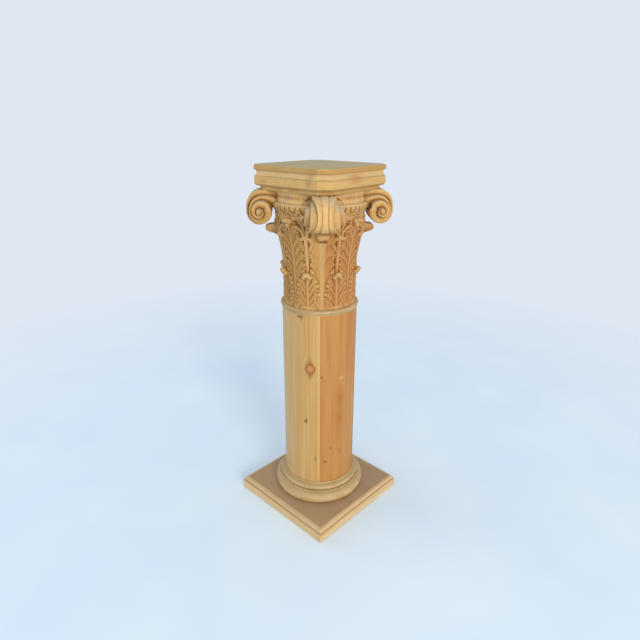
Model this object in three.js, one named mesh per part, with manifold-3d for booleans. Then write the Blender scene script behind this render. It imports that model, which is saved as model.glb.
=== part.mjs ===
// Pedestal column stand in pine: a square plinth, a turned base moulding, a plain round shaft,
// a carved capital with four corner scrolls, and a square top to stand something on.
// Millimetres, +Z up, origin in the middle of the plinth's underside.
// The plinth's sides lie along X and Y, and the corner towards +X -Y is called the front one.

import * as THREE from 'three';
import { mergeVertices } from 'three/addons/utils/BufferGeometryUtils.js';
import Module from 'manifold-3d';

const wasm = await Module();
wasm.setup();

// ---------------------------------------------------------------------------------------------
// Driving dimensions, mm and degrees
// ---------------------------------------------------------------------------------------------

const CLEARANCE = 0.3; // between turned or carved faces that fit round one another
const WELD = 1e-4; // vertices closer than this are one vertex
const OVERCUT = 1; // how far a cutting tool runs past the face that it leaves by

// Heights of the layers, from the floor up. Together they make the height of the stand.
const PLINTH_HEIGHT = 40;
const BASE_HEIGHT = 58;
const SHAFT_HEIGHT = 523;
const ASTRAGAL_HEIGHT = 14;
const BELL_HEIGHT = 240;
const ECHINUS_HEIGHT = 29;
const SCROLL_BED_HEIGHT = 27;
const BED_BOARD_HEIGHT = 9.5;
const ABACUS_HEIGHT = 38;
const TOP_BOARD_HEIGHT = 11.5;

// Plinth: a board with a mitred, moulded edge strip on each side
const PLINTH_SIDE = 340;
const PLINTH_EDGE_WIDTH = 13;
const PLINTH_LOWER_BAND = 27; // height of the square band under the rounded one
const PLINTH_EDGE_ROUNDING = 3;
const PLINTH_STEP = 2.5; // the rounded band starts this far in from the square one
const PLINTH_QUIRK = 1; // height of the slanted step between the two bands
const PLINTH_ARRIS = 1.5; // width of the flat left along the top of the rounded band
const PLINTH_OVOLO_START = 20; // degrees round its quarter ellipse where the rounded band starts

// Turned base moulding
const BASE_RADIUS = 133.3;
const BASE_TORUS_HEIGHT = 33;
const BASE_TORUS_DEPTH = 15.3;
const BASE_SMALL_TORUS_RADIUS = 117;
const BASE_SMALL_TORUS_HEIGHT = 15;
const BASE_STEP_HEIGHT = 4.5; // the flat step between the two rolls
const BASE_STEP_RADIUS = 120;
const BASE_QUIRK = 1; // height of the slanted edges where a roll meets a flat
const BASE_NECK_RADIUS = 106;

// Shaft: four quarter staves round a hollow core, closed by a plug at each end
const SHAFT_RADIUS = 102.6;
const SHAFT_CORE_RADIUS = 55;
const SHAFT_STEPS_PER_QUARTER = 12;
const SHAFT_PLUG_LENGTH = 40;
const FOOT_SPIGOT_RADIUS = 45;

// Astragal ring
const ASTRAGAL_RADIUS = 106.9;
const ASTRAGAL_FILLET_HEIGHT = 2.5;
const ASTRAGAL_FILLET_RADIUS = 103.6;
const ASTRAGAL_ROLL_START = -70; // degrees round its half circle where the roll leaves the fillet

// Capital: four carved quarters round a bore, all of it turned a little against the plinth
const CAPITAL_TURN = 3;
const CAPITAL_SPIGOT_RADIUS = 30;
const CAPITAL_SPIGOT_LENGTH = 44; // how far the shaft's upper plug reaches past the shaft
const CAPITAL_PLUG_DEPTH = 40; // how far the capital's own plug reaches down into the bell
const CAPITAL_PLUG_RISE = 15; // and up into the abacus
const BELL_RADII = [93, 92.5, 92.5, 94, 97.5, 104, 112, 116]; // foot to lip, equal steps
const QUARTER_STEPS_ROUND = 20;
const QUARTER_STEPS_UP = 30;

// Leaves carved on the bell. Angles run from a corner towards the middle of a face (45 degrees).
// Heights run from the foot of the bell; the roll is the curled tip of the leaf.
const LOWER_LEAF = {
  angle: 22.5,
  foot: 0,
  tip: 93,
  footHalfAngle: 9,
  topHalfAngle: 7,
  relief: 6,
  rollDepth: 12,
  rollHalfHeight: 11,
  rollHalfAngle: 7.5,
};
const STEM = {
  angle: 22.5,
  foot: 93,
  tip: 192,
  footHalfAngle: 4,
  topHalfAngle: 5,
  relief: 5,
  rollDepth: 7,
  rollHalfHeight: 12,
  rollHalfAngle: 6,
};
const CORNER_LEAF = {
  angle: 0,
  foot: 0,
  tip: 198,
  footHalfAngle: 7,
  topHalfAngle: 12,
  relief: 5,
  rollDepth: 24,
  rollHalfHeight: 16,
  rollHalfAngle: 8,
};
const FACE_LEAF = {
  angle: 45,
  foot: 0,
  tip: 232,
  footHalfAngle: 8,
  topHalfAngle: 10,
  relief: 5,
  rollDepth: 17,
  rollHalfHeight: 12,
  rollHalfAngle: 8,
};

// Echinus: the ring of eggs and darts between the scrolls
const ECHINUS_RADIUS = 126;
const ECHINUS_FOOT_RADIUS = 113;
const ECHINUS_FILLET_RADIUS = 122;
const ECHINUS_FILLET_HEIGHT = 4.5;
const EGG_COUNT = 24;
const EGG_RELIEF = 3;
const STEPS_PER_EGG = 3;

// Scroll bed: the coved disc above the echinus, with a flat seat for each corner scroll
const SCROLL_BED_RADIUS = 118;
const SCROLL_BED_COVE = 5;
const SCROLL_SEAT_WIDTH = 50;

// Corner scrolls. Their profile is laid out round an eye, in the upright plane of the diagonal.
const SCROLL_EYE_RADIAL = 155; // from the axis of the stand to the eye
const SCROLL_EYE_DROP = 53; // from the underside of the bed board down to the eye
const SCROLL_COIL_RADIUS = 33;
const SCROLL_RISE = 22; // how much the coil opens on its way up to the bed board
const SCROLL_EYE_HALF_WIDTH = 57;
const SCROLL_DRUM_HALF_WIDTH = 27;
// Angles round the eye, degrees: 0 points away from the stand and 90 points up.
const SCROLL_OPENING = { from: 0, to: 115 };
const SCROLL_CLOSING = { from: 125, to: 170 };
const SCROLL_BAND_ANGLES = { foot: -85, waist: 25, top: 91 };
const SCROLL_BAND_HALF_WIDTHS = { under: 30, foot: 32.5, waist: 16.8, top: 28 };
// The side steps down from the eye to the band. Fractions of the way from the eye to the rim.
const SCROLL_BAND_EDGE = { from: 0.72, to: 0.92 };
const SCROLL_TURNS = 2;
const SCROLL_STEP_START = 0.6; // fraction of a whorl's width where its outer edge falls away
const SCROLL_STEPS_ROUND = 40;
const SCROLL_STEPS_OUT = 10; // from the eye to the rim
const SCROLL_DOWEL_DIAMETER = 10;
const SCROLL_DOWEL_LENGTH = 40;

// Abacus and boards: squares with a flat facet across every corner
const FACET_WIDTH = 37;
const BED_BOARD_SIDE = 238;
const ABACUS_SIDE = 258.8;
const ABACUS_COVE = 4.6; // depth of the hollow under the top board
const ABACUS_NECK_INSET = 3.4; // how far the hollow's upper end stays inside the upright face
const ABACUS_FOOT_INSET = 4.5; // its underside is this much smaller on every side
const ABACUS_FASCIA_FOOT = 4.5; // the upright face starts here above the bed board
const ABACUS_FASCIA_TOP = 22.5; // and ends here, under the hollow
const ABACUS_COVE_DEEPEST = 33.5; // where the hollow is deepest
const ABACUS_FASCIA_ROUNDING = 1;
const TOP_BOARD_SIDE = 258.7;
const BOARD_ROUNDING = 1.5;

// Wood screws from under the plinth into the base moulding
const SCREW_CIRCLE_RADIUS = 85;
const SCREW_LENGTH = 60;
const SCREW_SHANK_DIAMETER = 5;
const SCREW_HEAD_DIAMETER = 10;
const SCREW_HEAD_HEIGHT = 3.5;
const SCREW_SINK = 1.5; // how far the head lies above the floor

const STEPS_ROUND = 48;
const STEPS_ROUND_BORE = 24;
const STEPS_ROUND_SMALL = 12;

// ---------------------------------------------------------------------------------------------
// Levels worked out from the layers
// ---------------------------------------------------------------------------------------------

const BASE_Z = PLINTH_HEIGHT;
const SHAFT_Z = BASE_Z + BASE_HEIGHT;
const ASTRAGAL_Z = SHAFT_Z + SHAFT_HEIGHT;
const BELL_Z = ASTRAGAL_Z + ASTRAGAL_HEIGHT;
const ECHINUS_Z = BELL_Z + BELL_HEIGHT;
const SCROLL_BED_Z = ECHINUS_Z + ECHINUS_HEIGHT;
const BED_BOARD_Z = SCROLL_BED_Z + SCROLL_BED_HEIGHT;
const ABACUS_Z = BED_BOARD_Z + BED_BOARD_HEIGHT;
const TOP_BOARD_Z = ABACUS_Z + ABACUS_HEIGHT;

const SCROLL_EYE_Z = BED_BOARD_Z - SCROLL_EYE_DROP;
const SCROLL_SEAT_RADIAL = ECHINUS_RADIUS;
const FACES = ['front_right', 'back_right', 'back_left', 'front_left'];
const CORNERS = ['front', 'right', 'back', 'left'];
const FIRST_CORNER_ANGLE = -45;

// ---------------------------------------------------------------------------------------------
// Finishes
// ---------------------------------------------------------------------------------------------

function wood(hex) {
  return new THREE.MeshStandardMaterial({ color: hex, roughness: 0.6, metalness: 0 });
}

const FINISHES = {
  brownPine: wood('#b08e62'),
  edgePine: wood('#dcb97e'),
  turnedPine: wood('#c9ad78'),
  honeyPine: wood('#d6ae68'),
  orangePine: wood('#ca9254'),
  carvedPine: wood('#c68c4c'),
  scrollPine: wood('#cba066'),
  boardPine: wood('#cdab6c'),
  hiddenPine: wood('#d9bd8a'),
  steel: new THREE.MeshStandardMaterial({ color: '#a8a9a6', roughness: 0.35, metalness: 1 }),
};

// ---------------------------------------------------------------------------------------------
// Small helpers
// ---------------------------------------------------------------------------------------------

const radians = THREE.MathUtils.degToRad;

function v2(x, y) {
  return new THREE.Vector2(x, y);
}

// One solid skin: shared vertices, no collapsed triangles, all triangles facing out.
function sealed(geometry) {
  const bare = geometry.clone();
  bare.deleteAttribute('normal');
  bare.deleteAttribute('uv');
  const welded = mergeVertices(bare, WELD);
  const corners = welded.index.array;
  const kept = [];
  for (let i = 0; i < corners.length; i += 3) {
    const [a, b, c] = [corners[i], corners[i + 1], corners[i + 2]];
    if (a !== b && b !== c && c !== a) kept.push(a, b, c);
  }
  if (signedVolume(welded.attributes.position, kept) < 0) kept.reverse();
  welded.setIndex(kept);
  welded.computeVertexNormals();
  return welded;
}

function signedVolume(position, corners) {
  const a = new THREE.Vector3();
  const b = new THREE.Vector3();
  const c = new THREE.Vector3();
  let sum = 0;
  for (let i = 0; i < corners.length; i += 3) {
    a.fromBufferAttribute(position, corners[i]);
    b.fromBufferAttribute(position, corners[i + 1]);
    c.fromBufferAttribute(position, corners[i + 2]);
    sum += a.dot(b.cross(c));
  }
  return sum / 6;
}

function toSolid(geometry) {
  const skin = sealed(geometry);
  const mesh = new wasm.Mesh({
    numProp: 3,
    vertProperties: new Float32Array(skin.attributes.position.array),
    triVerts: new Uint32Array(skin.index.array),
  });
  return new wasm.Manifold(mesh);
}

function toGeometry(solid) {
  const mesh = solid.getMesh();
  const geometry = new THREE.BufferGeometry();
  geometry.setAttribute('position', new THREE.BufferAttribute(mesh.vertProperties, 3));
  geometry.setIndex(new THREE.BufferAttribute(mesh.triVerts, 1));
  geometry.computeVertexNormals();
  return geometry;
}

function cut(geometry, ...tools) {
  let solid = toSolid(geometry);
  for (const tool of tools) {
    solid = solid.subtract(toSolid(tool));
  }
  return toGeometry(solid);
}

function join(geometry, ...others) {
  let solid = toSolid(geometry);
  for (const other of others) {
    solid = solid.add(toSolid(other));
  }
  return toGeometry(solid);
}

// Moves every vertex of a geometry to where place(x, y, z) says.
function reshaped(geometry, place) {
  const position = geometry.attributes.position;
  for (let i = 0; i < position.count; i += 1) {
    const moved = place(position.getX(i), position.getY(i), position.getZ(i));
    position.setXYZ(i, moved.x, moved.y, moved.z);
  }
  return geometry;
}

// A turned solid about +Z. The profile is a list of (radius, height) points.
function turned(profile, steps = STEPS_ROUND) {
  const geometry = new THREE.LatheGeometry(profile, steps);
  geometry.rotateX(Math.PI / 2);
  return sealed(geometry);
}

function ring(outline) {
  return [...outline, outline[0].clone()];
}

function cylinder(radius, z, height, steps = STEPS_ROUND_SMALL) {
  const geometry = new THREE.CylinderGeometry(radius, radius, height, steps);
  geometry.rotateX(Math.PI / 2);
  geometry.translate(0, 0, z + height / 2);
  return geometry;
}

// Points of an elliptical arc in the profile plane, from one angle to another.
function arc(centreX, centreY, radiusX, radiusY, fromDegrees, toDegrees, steps) {
  const curve = new THREE.EllipseCurve(
    centreX,
    centreY,
    radiusX,
    radiusY,
    radians(fromDegrees),
    radians(toDegrees),
    toDegrees < fromDegrees,
  );
  return curve.getPoints(steps);
}

// A rounded hump: 1 in the middle, 0 from halfWidth outwards.
function hump(offset, halfWidth) {
  const reach = Math.min(Math.abs(offset) / halfWidth, 1);
  return 0.5 + 0.5 * Math.cos(Math.PI * reach);
}

// A flat-topped hump: 1 over the middle half, 0 from halfWidth outwards.
function plateau(offset, halfWidth) {
  return 1 - THREE.MathUtils.smoothstep(Math.abs(offset), halfWidth / 2, halfWidth);
}

// A value eased through equally spaced samples, for a place between 0 and 1.
function eased(samples, place) {
  const step = THREE.MathUtils.clamp(place, 0, 1) * (samples.length - 1);
  const index = Math.min(Math.floor(step), samples.length - 2);
  return THREE.MathUtils.lerp(samples[index], samples[index + 1], step - index);
}

function named(name, geometry, finish) {
  const mesh = new THREE.Mesh(geometry, finish);
  mesh.name = name;
  return mesh;
}

// ---------------------------------------------------------------------------------------------
// Plinth
// ---------------------------------------------------------------------------------------------

function screwPlaces() {
  return FACES.map((_, i) => {
    const angle = radians(90 * i);
    return v2(SCREW_CIRCLE_RADIUS * Math.cos(angle), SCREW_CIRCLE_RADIUS * Math.sin(angle));
  });
}

// The outline of a screw, grown by a gap to give the hole that takes it.
function screwShape(gap) {
  const head = SCREW_HEAD_DIAMETER / 2 + gap;
  const shank = SCREW_SHANK_DIAMETER / 2 + gap;
  const foot = gap > 0 ? 0 : SCREW_SINK;
  const profile = [
    v2(0, foot),
    v2(head, foot),
    v2(head, SCREW_SINK),
    v2(shank, SCREW_SINK + SCREW_HEAD_HEIGHT),
    v2(shank, SCREW_SINK + SCREW_LENGTH + gap),
    v2(0, SCREW_SINK + SCREW_LENGTH + gap),
  ];
  return turned(profile, STEPS_ROUND_SMALL);
}

function screwHoles() {
  return screwPlaces().map((place) => screwShape(CLEARANCE).translate(place.x, place.y, 0));
}

function plinthBoard() {
  const side = PLINTH_SIDE - 2 * PLINTH_EDGE_WIDTH;
  const board = new THREE.BoxGeometry(side, side, PLINTH_HEIGHT);
  board.translate(0, 0, PLINTH_HEIGHT / 2);
  return cut(board, ...screwHoles());
}

// Cross-section of an edge strip: x from the middle of the plinth outwards, y up.
function plinthEdgeOutline() {
  const outer = PLINTH_SIDE / 2;
  const inner = outer - PLINTH_EDGE_WIDTH;
  const r = PLINTH_EDGE_ROUNDING;
  const upperFoot = PLINTH_LOWER_BAND + PLINTH_QUIRK;
  const ovoloCentre = inner + PLINTH_ARRIS;
  const ovoloWidth = PLINTH_EDGE_WIDTH - PLINTH_STEP - PLINTH_ARRIS;
  const ovoloHeight = PLINTH_HEIGHT - upperFoot;
  return [
    v2(inner, 0),
    ...arc(outer - r, r, r, r, -90, 0, 3),
    ...arc(outer - r, PLINTH_LOWER_BAND - r, r, r, 0, 90, 3),
    v2(ovoloCentre + ovoloWidth, upperFoot),
    ...arc(ovoloCentre, upperFoot, ovoloWidth, ovoloHeight, PLINTH_OVOLO_START, 90, 4),
    v2(inner, PLINTH_HEIGHT),
  ];
}

// The strip runs along Y on the +X side and is mitred at both ends, so that its length at any
// distance from the middle is twice that distance.
function plinthEdge() {
  const shape = new THREE.Shape(plinthEdgeOutline());
  const strip = new THREE.ExtrudeGeometry(shape, { depth: 2, steps: 1, bevelEnabled: false });
  strip.translate(0, 0, -1);
  reshaped(strip, (out, up, end) => new THREE.Vector3(out, -end * out, up));
  return sealed(strip);
}

// ---------------------------------------------------------------------------------------------
// Base moulding and shaft
// ---------------------------------------------------------------------------------------------

function baseMoulding() {
  const bore = FOOT_SPIGOT_RADIUS + CLEARANCE;
  const torusMiddle = BASE_TORUS_HEIGHT / 2;
  const stepTop = BASE_TORUS_HEIGHT + BASE_STEP_HEIGHT;
  const smallHalf = BASE_SMALL_TORUS_HEIGHT / 2;
  const smallMiddle = stepTop + smallHalf;
  const outline = [
    v2(bore, 0),
    ...arc(BASE_RADIUS - BASE_TORUS_DEPTH, torusMiddle, BASE_TORUS_DEPTH, torusMiddle, -90, 90, 7),
    v2(BASE_STEP_RADIUS, BASE_TORUS_HEIGHT + BASE_QUIRK),
    v2(BASE_STEP_RADIUS, stepTop - BASE_QUIRK),
    ...arc(BASE_SMALL_TORUS_RADIUS - smallHalf, smallMiddle, smallHalf, smallHalf, -90, 90, 5),
    v2(BASE_NECK_RADIUS, smallMiddle + smallHalf + BASE_QUIRK),
    v2(BASE_NECK_RADIUS, BASE_HEIGHT),
    v2(bore, BASE_HEIGHT),
  ];
  const moulding = turned(ring(outline));
  moulding.translate(0, 0, BASE_Z);
  return cut(moulding, ...screwHoles());
}

// One stave: a quarter of a thick tube, between two corner directions.
function shaftQuarter() {
  const from = radians(FIRST_CORNER_ANGLE);
  const to = radians(FIRST_CORNER_ANGLE + 90);
  const shape = new THREE.Shape();
  shape.absarc(0, 0, SHAFT_RADIUS, from, to, false);
  shape.absarc(0, 0, SHAFT_CORE_RADIUS, to, from, true);
  const options = { depth: SHAFT_HEIGHT, bevelEnabled: false, curveSegments: SHAFT_STEPS_PER_QUARTER };
  const stave = new THREE.ExtrudeGeometry(shape, options);
  stave.translate(0, 0, SHAFT_Z);
  return sealed(stave);
}

function shaftPlug(bodyZ, spigotRadius, spigotZ, spigotLength) {
  const body = cylinder(SHAFT_CORE_RADIUS - CLEARANCE, bodyZ, SHAFT_PLUG_LENGTH, STEPS_ROUND_BORE);
  const spigot = cylinder(spigotRadius, spigotZ, spigotLength, STEPS_ROUND_BORE);
  return join(body, spigot);
}

function astragal() {
  const bore = CAPITAL_SPIGOT_RADIUS + CLEARANCE;
  const half = (ASTRAGAL_HEIGHT - ASTRAGAL_FILLET_HEIGHT) / 2;
  const rollMiddle = ASTRAGAL_FILLET_HEIGHT + half;
  const outline = [
    v2(bore, 0),
    v2(ASTRAGAL_FILLET_RADIUS, 0),
    v2(ASTRAGAL_FILLET_RADIUS, ASTRAGAL_FILLET_HEIGHT),
    ...arc(ASTRAGAL_RADIUS - half, rollMiddle, half, half, ASTRAGAL_ROLL_START, 90, 5),
    v2(bore, ASTRAGAL_HEIGHT),
  ];
  const roll = turned(ring(outline));
  roll.translate(0, 0, ASTRAGAL_Z);
  return roll;
}

// ---------------------------------------------------------------------------------------------
// Carved bell
// ---------------------------------------------------------------------------------------------

// The hole along the axis that takes the plugs' spigots, through a layer of the capital.
function capitalBore(z, height) {
  const radius = CAPITAL_SPIGOT_RADIUS + CLEARANCE;
  return cylinder(radius, z - OVERCUT, height + 2 * OVERCUT, STEPS_ROUND_BORE);
}

// How far a leaf stands out from the bell: an even blade, and a rolled tip on top of it.
function leafRelief(leaf, angle, height) {
  const aside = angle - leaf.angle;
  const place = THREE.MathUtils.clamp((height - leaf.foot) / (leaf.tip - leaf.foot), 0, 1);
  const halfAngle = THREE.MathUtils.lerp(leaf.footHalfAngle, leaf.topHalfAngle, place);
  const onBlade = height >= leaf.foot && height <= leaf.tip + leaf.rollHalfHeight / 2;
  const blade = onBlade ? leaf.relief * plateau(aside, halfAngle) : 0;
  const rollHeight = hump(height - leaf.tip, leaf.rollHalfHeight);
  return blade + leaf.rollDepth * rollHeight * plateau(aside, leaf.rollHalfAngle);
}

function carvedRadius(angleFromCorner, height) {
  const angle = Math.min(angleFromCorner, 90 - angleFromCorner);
  const leaves = [LOWER_LEAF, STEM, CORNER_LEAF, FACE_LEAF];
  const relief = Math.max(...leaves.map((leaf) => leafRelief(leaf, angle, height)));
  return eased(BELL_RADII, height / BELL_HEIGHT) + relief;
}

// One quarter of the bell, corner to corner, bored out along the axis of the stand.
function capitalQuarter() {
  const core = CAPITAL_SPIGOT_RADIUS / 2;
  const block = new THREE.BoxGeometry(1, 1, 1, QUARTER_STEPS_ROUND, QUARTER_STEPS_UP, 1);
  reshaped(block, (across, up, out) => {
    const angle = (across + 0.5) * 90;
    const height = (up + 0.5) * BELL_HEIGHT;
    const radius = out > 0 ? carvedRadius(angle, height) : core;
    const turn = radians(FIRST_CORNER_ANGLE + angle);
    return new THREE.Vector3(radius * Math.cos(turn), radius * Math.sin(turn), BELL_Z + height);
  });
  return cut(block, capitalBore(BELL_Z, BELL_HEIGHT));
}

// ---------------------------------------------------------------------------------------------
// Echinus, scroll bed and scrolls
// ---------------------------------------------------------------------------------------------

// The eggs swell out of a quarter-round bed, most at its top, and a plain fillet closes it.
function echinusRing() {
  const bore = CAPITAL_SPIGOT_RADIUS + CLEARANCE;
  const eggTop = ECHINUS_HEIGHT - ECHINUS_FILLET_HEIGHT;
  const bedRadius = ECHINUS_RADIUS - EGG_RELIEF;
  const outline = [
    v2(bore, 0),
    ...arc(ECHINUS_FOOT_RADIUS, eggTop, bedRadius - ECHINUS_FOOT_RADIUS, eggTop, -90, 0, 4),
    v2(bore, eggTop),
  ];
  const eggs = turned(ring(outline), EGG_COUNT * STEPS_PER_EGG);
  reshaped(eggs, (x, y, z) => {
    const radius = Math.hypot(x, y);
    const turn = Math.atan2(y, x);
    const wave = 0.5 + 0.5 * Math.cos(EGG_COUNT * turn);
    const swell = EGG_RELIEF * wave * THREE.MathUtils.smoothstep(radius, ECHINUS_FOOT_RADIUS, bedRadius);
    const grown = radius + swell;
    return new THREE.Vector3(grown * Math.cos(turn), grown * Math.sin(turn), z);
  });
  const filletOutline = [
    v2(bore, eggTop),
    v2(ECHINUS_FILLET_RADIUS, eggTop),
    v2(ECHINUS_FILLET_RADIUS, ECHINUS_HEIGHT),
    v2(bore, ECHINUS_HEIGHT),
  ];
  const solid = join(eggs, turned(ring(filletOutline), EGG_COUNT * STEPS_PER_EGG));
  solid.translate(0, 0, ECHINUS_Z);
  return solid;
}

// A dowel lies along the diagonal at the first corner, half in the bed and half in the scroll.
function scrollDowel(gap) {
  const length = SCROLL_DOWEL_LENGTH + 2 * gap;
  const dowel = new THREE.CylinderGeometry(
    SCROLL_DOWEL_DIAMETER / 2 + gap,
    SCROLL_DOWEL_DIAMETER / 2 + gap,
    length,
    STEPS_ROUND_SMALL,
  );
  dowel.rotateZ(Math.PI / 2);
  dowel.translate(SCROLL_SEAT_RADIAL, 0, SCROLL_BED_Z + SCROLL_BED_HEIGHT / 2);
  dowel.rotateZ(radians(FIRST_CORNER_ANGLE));
  return sealed(dowel);
}

function scrollBed() {
  const bore = CAPITAL_SPIGOT_RADIUS + CLEARANCE;
  const middle = SCROLL_BED_HEIGHT / 2;
  const outline = [
    v2(bore, 0),
    ...arc(SCROLL_BED_RADIUS, middle, SCROLL_BED_COVE, middle, 270, 90, 4),
    v2(bore, SCROLL_BED_HEIGHT),
  ];
  const disc = turned(ring(outline));
  const arms = [0, 1].map((i) => {
    const arm = new THREE.BoxGeometry(2 * SCROLL_SEAT_RADIAL, SCROLL_SEAT_WIDTH, SCROLL_BED_HEIGHT);
    arm.translate(0, 0, middle);
    arm.rotateZ(radians(FIRST_CORNER_ANGLE + 90 * i));
    return arm;
  });
  const bed = join(disc, ...arms);
  bed.translate(0, 0, SCROLL_BED_Z);
  const dowelHoles = CORNERS.map((_, i) => scrollDowel(CLEARANCE).rotateZ(radians(90 * i)));
  return cut(bed, capitalBore(SCROLL_BED_Z, SCROLL_BED_HEIGHT), ...dowelHoles);
}

function between(angle, from, to) {
  return THREE.MathUtils.smoothstep(angle, from, to);
}

// Radius of the scroll's outline round its eye. The coil opens on its way from underneath,
// round the front, to the top.
function scrollRadius(angle) {
  const opening = between(angle, SCROLL_OPENING.from, SCROLL_OPENING.to);
  const closing = between(angle, SCROLL_CLOSING.from, SCROLL_CLOSING.to);
  return SCROLL_COIL_RADIUS + SCROLL_RISE * opening * (1 - closing);
}

// Half the width of the scroll's band: wide at the top, narrow at the waist, wide at the foot.
function scrollBandHalfWidth(angle) {
  const widths = SCROLL_BAND_HALF_WIDTHS;
  const { foot, waist, top } = SCROLL_BAND_ANGLES;
  const toFoot = (widths.foot - widths.under) * between(angle, -180, foot);
  const toWaist = (widths.waist - widths.foot) * between(angle, foot, waist);
  const toTop = (widths.top - widths.waist) * between(angle, waist, top);
  const toUnder = (widths.under - widths.top) * between(angle, top, 180);
  return widths.under + toFoot + toWaist + toTop + toUnder;
}

// Half the width of the scroll at a fraction of the way from its eye to its rim. The side steps
// down from the eye like a snail's shell, by a step that winds outwards, and ends at the band.
function scrollHalfWidth(fraction, angle) {
  const turn = angle / 360;
  const winding = SCROLL_TURNS * fraction - turn;
  const whorl = Math.floor(winding);
  const step = between(winding - whorl, SCROLL_STEP_START, 1);
  const place = THREE.MathUtils.clamp((whorl + step + turn) / SCROLL_TURNS, 0, 1);
  const shell = THREE.MathUtils.lerp(SCROLL_EYE_HALF_WIDTH, SCROLL_DRUM_HALF_WIDTH, place);
  const onBand = between(fraction, SCROLL_BAND_EDGE.from, SCROLL_BAND_EDGE.to);
  return THREE.MathUtils.lerp(shell, scrollBandHalfWidth(angle), onBand);
}

// The coil, cut to sit on the round echinus, the flat seat of the bed and under the bed board.
function scroll() {
  const steps = Array.from({ length: SCROLL_STEPS_OUT + 1 }, (_, i) => i);
  const fractions = steps.map((i) => i / SCROLL_STEPS_OUT);
  const nearSide = fractions.map((fraction) => v2(fraction, 1));
  const farSide = fractions.map((fraction) => v2(fraction, -1)).reverse();
  const coil = new THREE.LatheGeometry([...nearSide, v2(1, 0), ...farSide], SCROLL_STEPS_ROUND);
  reshaped(coil, (x, side, z) => {
    const fraction = Math.min(Math.hypot(x, z), 1);
    const angle = THREE.MathUtils.radToDeg(Math.atan2(x, -z));
    const reach = fraction * scrollRadius(angle);
    const radial = SCROLL_EYE_RADIAL + reach * Math.cos(radians(angle));
    const up = SCROLL_EYE_Z + reach * Math.sin(radians(angle));
    return new THREE.Vector3(radial, side * scrollHalfWidth(fraction, angle), up);
  });
  coil.rotateZ(radians(FIRST_CORNER_ANGLE));
  const belowEye = ECHINUS_Z - SCROLL_COIL_RADIUS;
  const round = cylinder(ECHINUS_RADIUS + CLEARANCE, belowEye, SCROLL_BED_Z - belowEye, STEPS_ROUND);
  const flat = new THREE.BoxGeometry(2 * SCROLL_SEAT_RADIAL, ABACUS_SIDE, ABACUS_HEIGHT);
  flat.translate(0, 0, SCROLL_BED_Z + ABACUS_HEIGHT / 2);
  flat.rotateZ(radians(FIRST_CORNER_ANGLE));
  const above = new THREE.BoxGeometry(2 * ABACUS_SIDE, 2 * ABACUS_SIDE, ABACUS_HEIGHT);
  above.translate(0, 0, BED_BOARD_Z + ABACUS_HEIGHT / 2);
  return cut(coil, round, flat, above, scrollDowel(CLEARANCE));
}

// ---------------------------------------------------------------------------------------------
// Abacus, boards and the capital's plug
// ---------------------------------------------------------------------------------------------

// A solid whose plan is a square with a facet across each corner. The profile is a list of
// (half side, height) points that starts and ends on the axis.
function faceted(profile) {
  const geometry = new THREE.LatheGeometry(profile, 8);
  const chamfer = FACET_WIDTH / Math.SQRT2;
  reshaped(geometry, (x, up, z) => {
    const half = Math.hypot(x, z);
    const step = Math.round(Math.atan2(z, x) / (Math.PI / 4));
    const faceAngle = Math.floor(step / 2) * (Math.PI / 2);
    const along = (half - Math.min(chamfer, half)) * (step % 2 === 0 ? -1 : 1);
    const onX = half * Math.cos(faceAngle) - along * Math.sin(faceAngle);
    const onY = half * Math.sin(faceAngle) + along * Math.cos(faceAngle);
    return new THREE.Vector3(onX, onY, up);
  });
  return sealed(geometry);
}

function bedBoard() {
  const half = BED_BOARD_SIDE / 2;
  const profile = [v2(0, 0), v2(half, 0), v2(half, BED_BOARD_HEIGHT), v2(0, BED_BOARD_HEIGHT)];
  const board = faceted(profile);
  board.translate(0, 0, BED_BOARD_Z);
  return cut(board, capitalBore(BED_BOARD_Z, BED_BOARD_HEIGHT));
}

function abacusMoulding() {
  const half = ABACUS_SIDE / 2;
  const coveRise = ABACUS_COVE_DEEPEST - ABACUS_FASCIA_TOP;
  const profile = [
    v2(0, 0),
    v2(half - ABACUS_FOOT_INSET, 0),
    v2(half - ABACUS_FASCIA_ROUNDING, ABACUS_FASCIA_FOOT - ABACUS_FASCIA_ROUNDING),
    v2(half, ABACUS_FASCIA_FOOT),
    ...arc(half, ABACUS_COVE_DEEPEST, ABACUS_COVE, coveRise, 270, 180, 4),
    v2(half - ABACUS_NECK_INSET, ABACUS_HEIGHT),
    v2(0, ABACUS_HEIGHT),
  ];
  const moulding = faceted(profile);
  moulding.translate(0, 0, ABACUS_Z);
  return cut(moulding, capitalBore(ABACUS_Z, CAPITAL_PLUG_RISE + CLEARANCE - OVERCUT));
}

function topBoard() {
  const half = TOP_BOARD_SIDE / 2;
  const inner = half - BOARD_ROUNDING;
  const profile = [
    v2(0, 0),
    v2(inner, 0),
    v2(half, BOARD_ROUNDING),
    v2(half, TOP_BOARD_HEIGHT - BOARD_ROUNDING),
    v2(inner, TOP_BOARD_HEIGHT),
    v2(0, TOP_BOARD_HEIGHT),
  ];
  const board = faceted(profile);
  board.translate(0, 0, TOP_BOARD_Z);
  return board;
}

function capitalPlug() {
  const foot = ECHINUS_Z - CAPITAL_PLUG_DEPTH;
  const head = ABACUS_Z + CAPITAL_PLUG_RISE;
  return sealed(cylinder(CAPITAL_SPIGOT_RADIUS, foot, head - foot, STEPS_ROUND_BORE));
}

// ---------------------------------------------------------------------------------------------
// Assembly
// ---------------------------------------------------------------------------------------------

// Adds a copy of one geometry for each name, each turned a quarter further round the stand.
function addRound(group, prefix, names, geometry, finishes) {
  names.forEach((name, i) => {
    const mesh = named(`${prefix}_${name}`, geometry.clone(), finishes[i % finishes.length]);
    mesh.rotation.z = radians(90 * i);
    group.add(mesh);
  });
}

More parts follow.
